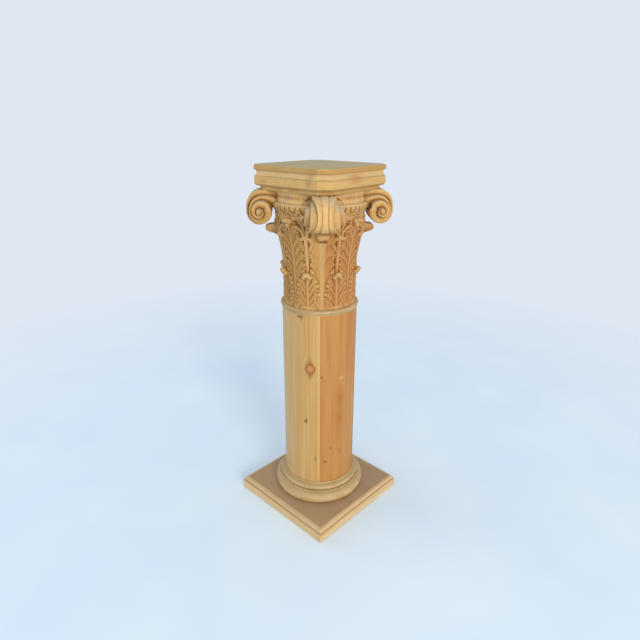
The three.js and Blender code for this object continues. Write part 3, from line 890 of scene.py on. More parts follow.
# A painted shadow line in the quirk between the edge's two mouldings, all round the plinth.
QUIRK_SHADOW = (band(28.6, 1.7, "#7a5c34", 0.6, 0.8),)
BROWN_PINE = Pine(
    "brown_board_pine", "#b3916a", "#8f6d46", "#a58460", dust_and_top_shade="#a68e68", grain=Grain.ALONG_X
)
EDGE_PINE_X = Pine(
    "pale_edge_pine_x",
    "#e4c694",
    "#bb9660",
    "#d6b480",
    dust_and_top_shade="#b89c70",
    dust_and_top_shade_share=0.7,
    grain=Grain.ALONG_X,
    ring_mm=4.0,
    marks_and_painted_light=QUIRK_SHADOW,
)
EDGE_PINE_Y = replace(EDGE_PINE_X, name="pale_edge_pine_y", grain=Grain.ALONG_Y)
TURNED_PINE = Pine(
    "turned_base_pine",
    "#d2b686",
    "#a98854",
    "#c4a570",
    dust_and_top_shade="#a89264",
    grain=Grain.ALONG_X,
    ring_share=0.2,
)
ASTRAGAL_PINE = Pine(
    "turned_ring_pine", "#ceb184", "#a1824e", "#bfa06e", dust_and_top_shade="#b09a6c", grain=Grain.ALONG_X
)
HONEY_STAVE = Pine(
    "honey_stave_pine",
    "#d2ac69",
    "#b07c36",
    "#c99c57",
    ring_share=0.38,
    pith=(40.0, -160.0),
    marks_and_painted_light=(
        Knot((51.3, -88.8, 466.8), 14.0, 16.0, "#c28a44", "#9c5a24", edge=0.15, flame=2.6, push=1.1),
        Knot((36.6, -95.9, 300.0), 3.2, 3.6, "#6e4512", "#8a5a26", edge=0.5),
        Knot((40.8, -94.2, 304.0), 3.6, 5.5, "#6a4210", "#a06a30", edge=0.5, flame=3.5),
        Knot((63.5, -80.6, 179.5), 2.0, 9.5, "#7a5220", "#8e6530"),
        Knot((20.6, -100.5, 615.0), 4.2, 4.2, "#5e4016", "#94682c", edge=0.5),
        Knot((28.8, -98.5, 614.0), 4.0, 5.0, "#5e4016", "#a8742e", edge=0.5, flame=4.0),
        patch((71.0, -74.0, 360.0), 4.0, 2000.0, "#dcb878", 0.8, 0.6),
        # Painted light: the shaft's left side paler and greyer, as the cool light from the left and
        # the pale floor's reflection fall on it.
        patch((-76.0, -70.0, 360.0), 80.0, 4000.0, "#cbb88e", 0.9, 0.5),
    ),
)
ORANGE_STAVE = Pine(
    "orange_stave_pine",
    "#ca9450",
    "#a0672a",
    "#be823e",
    ring_share=0.4,
    pith=(150.0, 60.0),
    ring_mm=4.5,
    marks_and_painted_light=(
        Knot((82.5, -61.0, 168.5), 6.0, 3.5, "#7f4c1a", "#9a602a"),
        Knot((76.0, -69.0, 442.5), 3.5, 5.0, "#955c28", "#a86c34", edge=0.5),
        Knot((80.5, -63.6, 430.5), 3.0, 3.5, "#a0642c", "#a86c34", edge=0.6, strength=0.7),
        Knot((102.6, 1.0, 521.0), 3.5, 4.0, "#9a6430", "#a86c34", edge=0.6, strength=0.7),
        Knot((101.0, -18.0, 433.0), 9.0, 4.5, "#e2ac6c", "#d6a160", edge=0.9, strength=0.6),
        Knot((100.9, -18.6, 374.0), 12.0, 24.0, "#b06c30", "#b6743a", edge=0.9, strength=0.7),
        Knot((100.4, -21.2, 303.0), 13.0, 26.0, "#b06c30", "#b6743a", edge=0.9, strength=0.7),
        Knot((91.2, -47.0, 213.0), 2.6, 4.0, "#8f5a26", "#a86c34", edge=0.5),
        Knot((101.0, -18.2, 193.0), 2.6, 6.0, "#955c28", "#a86c34", edge=0.5),
    ),
)
CARVED_GOLD = Pine(
    "carved_gold_pine",
    "#cb9c54",
    "#a87430",
    "#be8a45",
    dust_and_top_shade="#a38a5c",
    hollow_dirt_and_shade="#7a4a1c",
    marks_and_painted_light=(
        # Painted shade: the bell darker on its left side.
        patch((-40.0, -110.0, 770.0), 62.0, 170.0, "#94642c", 0.9, 0.5),
        patch((66.0, -92.0, 760.0), 20.0, 140.0, "#dcae66", 0.9, 0.4),
    ),
)
CARVED_ORANGE = Pine(
    "carved_orange_pine", "#c48946", "#9e5e26", "#b67838", dust_and_top_shade="#a38a5c", hollow_dirt_and_shade="#7a461a"
)
SCROLL_PINE = Pine(
    "carved_scroll_pine",
    "#d8ae66",
    "#b07e3a",
    "#ca9850",
    dust_and_top_shade="#c6ba98",
    dust_and_top_shade_share=0.7,
    hollow_dirt_and_shade="#784a1e",
    hollow_dirt_and_shade_share=0.7,
    marks_and_painted_light=(
        # Painted shade: the left scroll darker.
        patch((-103.7, -115.2, 878.0), 60.0, 50.0, "#a87838", 0.9, 0.6),
        # Painted shade on both flanks of the front scroll's coil, in the gaps beside its band.
        patch((90.5, -141.8, 876.0), 24.0, 38.0, "#946634", 0.8, 0.9),
        patch((152.7, -77.0, 878.0), 20.0, 36.0, "#a87244", 0.8, 0.7),
        # Painted light: the front scroll's band paler where it faces the light.
        patch((148.0, -133.3, 884.0), 32.0, 40.0, "#eec681", 0.9, 0.65),
    ),
)
# A dark line lies on top of the fillet over the eggs, and a pale, pinkish painted highlight along
# the fillet under it.
EGG_PINE = replace(
    SCROLL_PINE,
    name="carved_egg_pine",
    early="#b88844",
    streak="#a47434",
    hollow_dirt_and_shade_share=0.9,
    marks_and_painted_light=(
        band(900.5, 1.7, "#dcba92", 0.4, 0.7),
        band(903.8, 1.5, "#54453a", 0.4, 0.8),
    ),
)
BED_PINE = replace(
    SCROLL_PINE,
    name="carved_bed_pine",
    marks_and_painted_light=(
        Knot((4.8, -117.9, 920.0), 19.0, 7.5, "#a08468", "#a88a68", edge=0.9, strength=0.75),
        Knot((117.7, -7.9, 925.0), 21.0, 9.0, "#b07c58", "#b8865c", edge=0.9, strength=0.75),
        Knot((54.7, -104.6, 912.0), 9.0, 8.0, "#86664c", "#8c6c50", edge=0.7, strength=0.7),
        Knot((109.0, -45.0, 911.0), 7.0, 8.0, "#9a6e4c", "#a07450", edge=0.7, strength=0.7),
        patch((25.0, -115.5, 908.5), 17.0, 3.5, "#dba05c", 0.9, 0.7),
        patch((114.4, -28.8, 910.0), 12.0, 5.0, "#d0905a", 0.9, 0.6),
    ),
)
BOARD_PINE = Pine(
    "planed_board_pine",
    "#d2ae6c",
    "#a97f3f",
    "#c49a56",
    dust_and_top_shade="#a39a6a",
    dust_and_top_shade_share=0.75,
    grain=Grain.ALONG_Y,
    marks_and_painted_light=(
        # Painted light: the upright faces of the moulding paler all round.
        band(954.0, 10.0, "#dcb470", 0.3, 0.45),
        band(983.0, 5.5, "#b88c48", 0.4, 0.5),
        # Painted light: the hollow under the top board paler all round, against the shade it lies
        # in.
        band(970.0, 6.5, "#e2c68e", 0.5, 0.55),
        Knot((-67.9, -133.1, 952.8), 13.0, 6.0, "#a87c3c", "#b98e4c", edge=0.9, strength=0.5),
        Knot((83.9, -125.2, 956.5), 9.0, 9.0, "#a27440", "#b98e4c", edge=0.9, strength=0.6),
        Knot((87.6, -122.9, 966.0), 8.0, 16.0, "#b48e58", "#c09a62", edge=0.9, strength=0.5),
        Knot((130.0, -10.0, 964.0), 26.0, 11.0, "#b87c44", "#c08a50", edge=0.9, strength=0.7),
    ),
)
SAWN_PINE = Pine("sawn_core_pine", "#dcc294", "#b8945a", "#d0b27c")
ZINC = ZincSteel()


# ------------------------------------------------------------------------------------------
# Plinth, base and shaft
# ------------------------------------------------------------------------------------------


@dataclass
class Plinth:
    """The square foot: a brown board in a mitred frame of pale, moulded edge strips."""

    side: float = 340.0
    height: float = 40.0
    edge_width: float = 13.0
    lower_band: float = 27.0
    rounding: float = 3.0
    step: float = 2.5
    quirk: float = 1.0
    arris: float = 1.5
    gap: float = 0.25
    board_rounding: float = 0.4

    def build(self) -> None:
        """Build the board and its four edge strips."""
        board = Workpiece("fine_plinth_board")
        half = self.side / 2 - self.edge_width - self.gap
        board.add_faceted([(half, 0.0), (half, self.height)], self.board_rounding)
        board.soften(self.board_rounding)
        board.finish(BROWN_PINE, "brown_pine", ["plinth_board"])
        for index, face in enumerate(FACES):
            strip = self._strip(f"fine_plinth_edge_{face}")
            strip.rotate(90 * index)
            wood = EDGE_PINE_Y if index % 2 == 0 else EDGE_PINE_X
            strip.finish(wood, "edge_pine", [f"plinth_edge_{face}"])

    def _strip(self, name: str) -> Workpiece:
        """One strip on the +X side, mitred at both ends, as a section drawn along Y.

        Args:
            name: The piece's name.

        Returns:
            The strip.
        """
        outer = self.side / 2
        inner = outer - self.edge_width
        r = self.rounding
        foot = self.lower_band + self.quirk
        crown = self.edge_width - self.step - self.arris
        outline = [(inner, 0.0)]
        outline += arc((outer - r, r), (r, r), -90, 0, 6)
        outline += arc((outer - r, self.lower_band - r), (r, r), 0, 90, 6)
        outline += [(inner + self.arris + crown, foot)]
        rise = self.height - foot
        outline += arc((inner + self.arris, foot), (crown, rise), 12, 90, 10)
        outline += [(inner, self.height)]
        strip = Workpiece(name)
        verts = [strip.shape.verts.new((out, -out, up)) for out, up in outline]
        face = strip.shape.faces.new(verts)
        grown = bmesh.ops.extrude_face_region(strip.shape, geom=[face])["geom"]
        for vert in vertices_of(grown):
            vert.co.y = vert.co.x
        return strip


@dataclass
class Base:
    """The turned moulding between plinth and shaft: a big roll, a step and a small roll."""

    foot: float = 40.0
    height: float = 58.0
    radius: float = 133.3
    torus_height: float = 33.0
    torus_depth: float = 15.3
    small_radius: float = 117.0
    small_height: float = 15.0
    step_height: float = 4.5
    step_radius: float = 120.0
    step_undercuts: tuple[float, float] = (1.2, 0.8)
    step_shoulder: float = 1.6
    step_wear: float = 0.6
    nick: float = 0.3
    quirk: float = 1.0
    neck_radius: float = 106.0
    neck_arris: float = 0.5
    bore: float = 45.3

    def build(self) -> None:
        """Build the moulding."""
        middle = self.torus_height / 2
        step_foot = self.torus_height
        step_top = step_foot + self.step_height
        small = self.small_height / 2
        torus = (self.radius - self.torus_depth, middle)
        low, high = self.step_undercuts
        outline = [(self.bore, 0.0)]
        outline += arc(torus, (self.torus_depth, middle), -90, 90, 20)
        outline += [
            (self.step_radius - low, step_foot + self.nick),
            (self.step_radius - high, step_foot + self.quirk),
            (self.step_radius, step_foot + self.step_shoulder),
            (self.step_radius, step_top - self.quirk),
            (self.step_radius - self.step_wear, step_top - self.nick),
        ]
        outline += arc((self.small_radius - small, step_top + small), (small, small), -90, 90, 14)
        neck = step_top + self.small_height
        outline += [
            (self.neck_radius, neck + self.quirk),
            (self.neck_radius, self.height - self.neck_arris),
            (self.neck_radius - self.neck_arris, self.height),
            (self.bore, self.height),
        ]
        moulding = Workpiece("fine_base_moulding")
        moulding.turn_on_lathe(outline)
        moulding.lift(self.foot)
        moulding.finish(TURNED_PINE, "turned_pine", ["base_moulding"])


@dataclass
class Shaft:
    """The plain round shaft of four staves, and the turned ring on top of it."""

    foot: float = 98.0
    height: float = 523.0
    radius: float = 102.6
    core: float = 55.0
    seam: float = 0.35
    ring_radius: float = 106.9
    ring_height: float = 14.0
    ring_fillet: float = 2.5
    ring_fillet_radius: float = 103.6
    ring_bore: float = 30.3

    def build(self) -> None:
        """Build the staves and the ring."""
        for index, face in enumerate(FACES):
            stave = self._stave(f"fine_shaft_quarter_{face}")
            stave.rotate(90 * index)
            orange = index < 2
            stave.finish(
                ORANGE_STAVE if orange else HONEY_STAVE,
                "orange_pine" if orange else "honey_pine",
                [f"shaft_quarter_{face}"],
            )
        self._ring()

    def _stave(self, name: str) -> Workpiece:
        """One stave: a section of the thick tube, spun a quarter turn from the front corner.

        Args:
            name: The piece's name.

        Returns:
            The stave, between the front corner and the right one.
        """
        stave = Workpiece(name)
        top = self.foot + self.height
        section = [(self.core, self.foot), (self.radius, self.foot)]
        section += [(self.radius, top), (self.core, top)]
        stave.turn_on_lathe(section, quarters=1)
        stave.fill_ends()
        stave.rotate(FIRST_CORNER)
        stave.soften(self.seam, segments=1, sharper_than=60.0)
        return stave

    def _ring(self) -> None:
        """The astragal: a half-round roll over a small fillet."""
        half = (self.ring_height - self.ring_fillet) / 2
        outline = [
            (self.ring_bore, 0.0),
            (self.ring_fillet_radius, 0.0),
            (self.ring_fillet_radius, self.ring_fillet),
        ]
        middle = (self.ring_radius - half, self.ring_fillet + half)
        outline += arc(middle, (half, half), -70, 90, 16)
        outline += [(self.ring_bore, self.ring_height)]
        ring = Workpiece("fine_astragal_ring")
        ring.turn_on_lathe(outline)
        ring.lift(self.foot + self.height)
        ring.finish(ASTRAGAL_PINE, "turned_pine", ["astragal_ring"])


# ------------------------------------------------------------------------------------------
# Carved bell
# ------------------------------------------------------------------------------------------


@dataclass(frozen=True)
class Rib:
    """A round-backed rib along a line of points on a flat sheet, in mm."""

    points: tuple[tuple[float, float], ...]
    half_widths: tuple[float, float]
    reliefs: tuple[float, float]
    crease: float = 0.0

    def raise_on(self, relief: np.ndarray, aside: np.ndarray, height: np.ndarray) -> None:
        """Lift the relief to the rib's back wherever the rib passes.

        Args:
            relief: How far the carving stands out so far, changed in place.
            aside: Distance from the line that the points are measured from.
            height: Height over the bell's foot.
        """
        wide = max(self.half_widths)
        xs, ys = zip(*self.points)
        near = (aside > min(xs) - wide) & (aside < max(xs) + wide)
        near &= (height > min(ys) - wide) & (height < max(ys) + wide)
        x, y, best = aside[near], height[near], relief[near]
        for number, ((x0, y0), (x1, y1)) in enumerate(zip(self.points, self.points[1:])):
            dx, dy = x1 - x0, y1 - y0
            place = np.clip(((x - x0) * dx + (y - y0) * dy) / (dx * dx + dy * dy), 0.0, 1.0)
            along = (number + place) / (len(self.points) - 1)
            half = self.half_widths[0] + (self.half_widths[1] - self.half_widths[0]) * along
            tall = self.reliefs[0] + (self.reliefs[1] - self.reliefs[0]) * along
            off = np.hypot(x - x0 - place * dx, y - y0 - place * dy)
            folded = 1.0 - self.crease * dome(off, 0.3 * half)
            best = np.maximum(best, tall * dome(off, half) * folded)
        relief[near] = best


# The line of a lobe: shares of the way from the leaf's middle to its edge, and of the lobe's rise.
LOBE_LINE = ((0.0, 0.0), (0.2, 0.3), (0.5, 0.66), (0.82, 0.88), (1.0, 0.95))
LOW_LEAFLET = (1.1, 0.62)
HIGH_LEAFLET = (0.74, 1.16)
FLUTE_DEPTH = 0.24


@dataclass(frozen=True)
class Leaf:
    """An acanthus leaf on the bell: a low sheet, a middle rib, and lobes that reach up and out.

    The angle is in degrees from the corner, the half widths are at even steps from foot to tip,
    and the lobes spring at a share of the half width.
    """

    angle: float
    foot: float
    tip: float
    half_widths: tuple[float, ...]
    lobes: int
    rise: float
    spring: float
    lobe_half_width: float
    relief: float
    sheet: float
    flutes: float = 0.0

    def half_width(self, height: np.ndarray | float) -> np.ndarray:
        """Half the leaf's width at a height."""
        steps = np.linspace(self.foot, self.tip, len(self.half_widths))
        return np.interp(height, steps, self.half_widths)

    def ribs(self) -> list[Rib]:
        """The lobes of the leaf's one half, each with two side leaflets, and the middle rib.

        Returns:
            The ribs, the lowest first.
        """
        ribs = []
        span = self.tip - self.foot - 0.9 * self.rise
        thick = self.lobe_half_width
        for number in range(self.lobes):
            root = self.foot + span * number / (self.lobes - 1)
            wide = float(self.half_width(root + 0.8 * self.rise))
            start = self.spring * wide
            # No two lobes rise quite alike, as a hand cuts them.
            rise = self.rise * (1.0 + 0.12 * math.sin(2.3 * number + self.angle))
            line, leaflets = (
                tuple((start + (wide - start) * out, root + rise * up) for out, up in shares)
                for shares in (LOBE_LINE, (LOW_LEAFLET, HIGH_LEAFLET))
            )
            small = (0.4 * thick, 0.55 * thick)
            tall = (0.6 * self.relief, 0.9 * self.relief)
            ribs += [Rib((line[2], end), small, tall) for end in leaflets]
            ribs.append(Rib(line, (0.6 * thick, thick), (0.55 * self.relief, self.relief), 0.15))
        middle = ((0.0, self.foot), (0.0, self.tip))
        tapering = (0.8 * thick, 0.55 * thick)
        ribs.append(Rib(middle, tapering, (0.75 * self.relief, 0.95 * self.relief)))
        return ribs

    def carve(self, relief: np.ndarray, aside: np.ndarray, height: np.ndarray) -> None:
        """Carve the leaf into the relief, over whatever lies under it.

        Args:
            relief: How far the carving stands out so far, changed in place.
            aside: Distance from the leaf's middle line, round the bell.
            height: Height over the bell's foot.
        """
        half = self.half_width(height)
        out = np.abs(aside) / half
        inside = (out < 0.97) & (height > self.foot - 1.0) & (height < self.tip - 2.0)
        folds = 0.5 - 0.5 * np.cos(2 * np.pi * self.flutes * out / max(self.spring, 0.1))
        fluted = self.sheet * (1.0 - FLUTE_DEPTH * folds * (out < self.spring) * (self.flutes > 0))
        relief[inside] = fluted[inside]
        for rib in self.ribs():
            rib.raise_on(relief, np.abs(aside), height)


@dataclass(frozen=True)
class Tip:
    """The rolled-over tip of a leaf: a ribbed knob that stands off the bell, in mm.

    The centre is a distance from the axis and a height over the bell's foot, and the radii are
    outwards, sideways and upwards.
    """

    angle: float
    centre: tuple[float, float]
    radii: tuple[float, float, float]
    ribs: float
    depth: float = 0.2

    def knob(self, across: np.ndarray, along: np.ndarray) -> Points:
        """The knob's skin, closed round a level axis.

        Args:
            across: Share of the way round it.
            along: Share of the way from side to side.

        Returns:
            Distance out, sideways and up from the bell's foot, mm.
        """
        round_turn = 2 * np.pi * across
        folds = 0.5 - 0.5 * np.cos(2 * np.pi * self.ribs * along)
        ring = np.sin(np.pi * along) * (1.0 - self.depth * (1.0 - folds))
        out = self.centre[0] + self.radii[0] * ring * np.cos(round_turn)
        up = self.centre[1] + self.radii[2] * ring * np.sin(round_turn)
        return out, self.radii[1] * np.cos(np.pi * along), up

    def add_to(self, piece: Workpiece, foot: float) -> None:
        """Add the knob to a quarter of the bell.

        Args:
            piece: The quarter that gets it.
            foot: Height of the bell's foot.
        """
        verts = piece.add_sheet(20, max(10, round(8 * self.ribs)), self.knob)
        bmesh.ops.translate(piece.shape, vec=(0, 0, foot), verts=verts)
        turn = Matrix.Rotation(math.radians(FIRST_CORNER + self.angle), 3, "Z")
        bmesh.ops.rotate(piece.shape, cent=(0, 0, 0), matrix=turn, verts=verts)


@dataclass
class Bell:
    """The carved bell of the capital, in four quarters that meet at the corners."""

    foot: float = 635.0
    height: float = 240.0
    flat: float = 30.8
    radii: tuple[float, ...] = (93.0, 92.5, 92.5, 94.0, 97.5, 104.0, 112.0, 116.0)
    columns: int = 180
    rows: int = 260
    stem_angle: float = 22.5
    corner_leaf: Leaf = Leaf(
        angle=0,
        foot=0,
        tip=205,
        half_widths=(8, 11, 17, 25, 31, 33, 27),
        lobes=10,
        rise=17,
        spring=0.74,
        lobe_half_width=4.0,
        relief=4.6,
        sheet=2.2,
        flutes=5.0,
    )
    middle_leaf: Leaf = Leaf(
        angle=45,
        foot=0,
        tip=232,
        half_widths=(9, 12, 20, 30, 33, 27, 15),
        lobes=10,
        rise=30,
        spring=0.1,
        lobe_half_width=6.2,
        relief=5.0,
        sheet=1.5,
    )
    lower_leaf: Leaf = Leaf(
        angle=22.5,
        foot=-8,
        tip=96,
        half_widths=(19, 25, 27, 22, 11),
        lobes=5,
        rise=34,
        spring=0.05,
        lobe_half_width=6.6,
        relief=7.0,
        sheet=2.5,
    )
    stem: Rib = Rib(((0, 96), (0, 188)), (5.2, 5.2), (5.5, 7.0))
    bud: Rib = Rib(((2, 140), (7, 158), (14, 170)), (2.5, 3.8), (3.5, 5.5))
    tendril: Rib = Rib(
        ((0, 180), (6, 203), (18, 215), (29, 217), (36, 211), (34, 204)), (4.8, 2.8), (7.0, 4.5)
    )
    inner_tendril: Rib = Rib(
        ((0, 186), (3, 208), (9, 224), (16, 232)), (3.4, 3.0), (5.0, 4.0)
    )
    foot_curl: Rib = Rib(
        ((28.4, 9), (25.5, 7.2), (21.6, 9.4), (21.2, 13.6), (24.2, 16.6), (28.2, 15)),
        (1.7, 1.9),
        (5.0, 5.5),
    )
    tips: tuple[Tip, ...] = (
        Tip(22.5, (106.5, 94.0), (7.8, 9.0, 8.5), 2.0),
        Tip(17.8, (102.5, 87.5), (6.0, 5.0, 6.5), 1.0),
        Tip(27.2, (102.5, 87.5), (6.0, 5.0, 6.5), 1.0),
        Tip(22.5, (112.5, 191.0), (7.5, 8.0, 7.0), 2.0),
        Tip(18.5, (109.0, 187.0), (5.5, 5.0, 5.5), 1.0),
        Tip(26.5, (109.0, 187.0), (5.5, 5.0, 5.5), 1.0),
    )
    flower: tuple[Tip, ...] = (
        Tip(45.0, (125.5, 231.0), (11.0, 9.0, 7.5), 2.0),
        Tip(40.8, (122.5, 229.0), (9.0, 6.5, 7.5), 1.5),
        Tip(49.2, (122.5, 229.0), (9.0, 6.5, 7.5), 1.5),
        Tip(45.0, (119.0, 220.0), (9.0, 6.0, 9.0), 1.5),
    )
    horn_outline: Table = (
        (98.0, 160.0),
        (104.0, 172.0),
        (112.0, 181.0),
        (122.0, 185.5),
        (131.0, 187.5),
        (137.5, 190.5),
        (140.8, 194.5),
        (141.5, 199.0),
        (139.5, 203.5),
        (134.0, 207.0),
        (124.0, 208.5),
        (98.0, 209.0),
    )
    horn_half_width: float = 14.0
    horn_root: float = 100.0
    horn_middle: float = 195.0
    horn_rounding: float = 3.0

    def stand(self, angle: np.ndarray, height: np.ndarray) -> np.ndarray:
        """Radius of the carved surface.

        Args:
            angle: Degrees from the corner, 0 to 90.
            height: Height over the bell's foot.

        Returns:
            The radius, mm.
        """
        steps = np.linspace(0, self.height, len(self.radii))
        body = np.interp(height, steps, self.radii)
        near = np.minimum(angle, 90.0 - angle)
        mm = np.radians(1.0) * body
        relief = np.zeros(angle.shape)
        for leaf in (self.corner_leaf, self.middle_leaf, self.lower_leaf):
            leaf.carve(relief, (near - leaf.angle) * mm, height)
        for rib in (self.stem, self.bud, self.tendril, self.inner_tendril, self.foot_curl):
            rib.raise_on(relief, np.abs(near - self.stem_angle) * mm, height)
        return body + relief

    def _surface(self, across: np.ndarray, up: np.ndarray) -> Points:
        """The carved face of one quarter.

        Args:
            across: Share of the way from the front corner to the right one.
            up: Share of the height.

        Returns:
            The points, mm.
        """
        angle = across * 90.0
        height = up * self.height
        radius = self.stand(angle, height)
        turn = np.radians(angle + FIRST_CORNER)
        return radius * np.cos(turn), radius * np.sin(turn), self.foot + height

    def quarter(self, name: str) -> Workpiece:
        """One carved quarter, from the front corner round to the right one.

        Args:
            name: The piece's name.

        Returns:
            The quarter, in place under the other parts of the capital.
        """
        piece = Workpiece(name)
        piece.add_sheet(self.columns, self.rows, self._surface)
        rim = [e for e in piece.shape.edges if e.is_boundary]
        grown = bmesh.ops.extrude_edge_only(piece.shape, edges=rim)["geom"]
        for vert in vertices_of(grown):
            vert.co = Vector((self.flat, self.flat * vert.co.y / vert.co.x, vert.co.z))
        piece.fill_ends()
        for tip in self.tips:
            tip.add_to(piece, self.foot)
            replace(tip, angle=90.0 - tip.angle).add_to(piece, self.foot)
        for tip in self.flower:
            tip.add_to(piece, self.foot)
        self._horn(piece, 0.0, 1.0)
        self._horn(piece, 90.0, -1.0)
        return piece

    def _horn_skin(self, across: np.ndarray, along: np.ndarray) -> Points:
        """The corner leaf's tip from its middle out to its one side.

        Args:
            across: Share of the way from the middle to the side.
            along: Share of the way round its outline.

        Returns:
            Distance out, sideways and up, mm.
        """
        outline = np.array(self.horn_outline + self.horn_outline[:1])
        places = np.linspace(0.0, 1.0, len(outline))
        out = np.interp(along, places, outline[:, 0])
        up = np.interp(along, places, outline[:, 1])
        round_edge = self.horn_rounding * ease(across, 0.6, 1.0) ** 2
        out = out - round_edge * (out > self.horn_root)
        up = up + round_edge * (up < self.horn_middle)
        return out, across * self.horn_half_width, self.foot + up

    def _horn(self, piece: Workpiece, angle: float, away: float) -> None:
        """Half of the corner leaf's tip, which leans out under the scroll.

        Args:
            piece: The quarter that gets it.
            angle: The corner's angle in the quarter.
            away: Which side of the corner the half lies on, 1 or -1.
        """
        verts = piece.add_sheet(24, 4 * len(self.horn_outline), self._horn_skin)
        bmesh.ops.scale(piece.shape, vec=(1.0, away, 1.0), verts=verts)
        turn = Matrix.Rotation(math.radians(FIRST_CORNER + angle), 3, "Z")
        bmesh.ops.rotate(piece.shape, cent=(0, 0, 0), matrix=turn, verts=verts)
        bmesh.ops.remove_doubles(piece.shape, verts=verts, dist=MERGE_MM)
        piece.fill_ends()

    def build(self) -> None:
        """Build the four quarters."""
        pattern = self.quarter("pattern_quarter")
        for index, face in enumerate(FACES):
            piece = pattern.copy(f"fine_capital_quarter_{face}")
            piece.rotate(90 * index + CAPITAL_TURN)
            piece.finish(
                CARVED_ORANGE if index < 2 else CARVED_GOLD,
                "carved_pine",
                [f"capital_quarter_{face}"],
                sharp=75.0,
                carved=2.0,
            )
        pattern.shape.free()


# ------------------------------------------------------------------------------------------
# Echinus, scroll bed and scrolls
# ------------------------------------------------------------------------------------------


@dataclass
class Echinus:
    """The ring of eggs in their shells, with a dart between each two, under a plain fillet.

    The shapes of egg, shell and drilled hole are in shares of half an egg's room sideways and
    of the carved height upwards.
    """

    foot: float = 875.0
    height: float = 29.0
    fillet: float = 4.5
    fillet_radius: float = 122.0
    foot_radius: float = 113.0
    crown_radius: float = 121.5
    eggs: int = 24
    egg_relief: float = 5.5
    egg_middle: float = 0.95
    egg_halves: tuple[float, float] = (0.62, 0.74)
    egg_rim: float = 0.92
    shell_share: float = 0.7
    shell_rim: tuple[float, float] = (0.96, 1.12)
    hole_middle: float = 0.2
    hole_halves: tuple[float, float] = (0.3, 0.16)
    ground: float = 2.2
    bore: float = 30.3

    def stand(self, turn: np.ndarray, height: np.ndarray) -> np.ndarray:
        """Radius of the carved ring.

        Args:
            turn: Share of a full turn.
            height: Height over the ring's foot.

        Returns:
            The radius, mm.
        """
        top = self.height - self.fillet
        up = np.clip(height / top, 0.0, 1.0)
        body = self.foot_radius + (self.crown_radius - self.foot_radius) * np.sin(up * np.pi / 2)
        side = (turn * self.eggs % 1.0) * 2.0 - 1.0
        near = np.abs(side)
        wide, tall = self.egg_halves
        away = np.hypot(near / wide, (up - self.egg_middle) / tall)
        egg = self.egg_relief * dome(away, self.egg_rim)
        shell = self.shell_share * self.egg_relief * ease(away, *self.shell_rim)
        wide, tall = self.hole_halves
        off = np.hypot((1.0 - near) / wide, (up - self.hole_middle) / tall)
        drill = 1.0 - ease(off, 0.6, 1.0)
        carved = np.maximum(egg, shell) * (1.0 - drill)
        carved = carved * (1.0 - ease(height, top - 1.0, top))
        fillet = np.where(height > top, self.fillet_radius, 0.0)
        return np.maximum(body + carved - self.ground, fillet)

    def _surface(self, across: np.ndarray, up: np.ndarray) -> Points:
        """The ring's carved face.

        Args:
            across: Share of a full turn.
            up: Share of the height.

        Returns:
            The points, mm.
        """
        height = up * self.height
        radius = self.stand(across, height)
        turn = 2 * np.pi * across
        return radius * np.cos(turn), radius * np.sin(turn), self.foot + height

    def build(self) -> None:
        """Build the ring."""
        ring = Workpiece("fine_echinus_ring")
        ring.add_sheet(self.eggs * 30, 34, self._surface)
        close_round(ring, self.bore)
        ring.rotate(CAPITAL_TURN)
        ring.finish(EGG_PINE, "carved_pine", ["echinus_ring"], sharp=60.0, carved=1.2)


def close_round(piece: Workpiece, bore: float) -> None:
    """Join the seam of a sheet laid round the axis, and close it inwards to a bore.

    Args:
        piece: The sheet.
        bore: Radius of the hole along the axis, mm.
    """
    bmesh.ops.remove_doubles(piece.shape, verts=piece.shape.verts[:], dist=MERGE_MM)
    rims = [e for e in piece.shape.edges if e.is_boundary]
    grown = bmesh.ops.extrude_edge_only(piece.shape, edges=rims)["geom"]
    for vert in vertices_of(grown):
        inwards = Vector((vert.co.x, vert.co.y, 0.0)).normalized() * bore
        vert.co = Vector((inwards.x, inwards.y, vert.co.z))
    edges = [e for e in piece.shape.edges if e.is_boundary]
    bmesh.ops.bridge_loops(piece.shape, edges=edges)


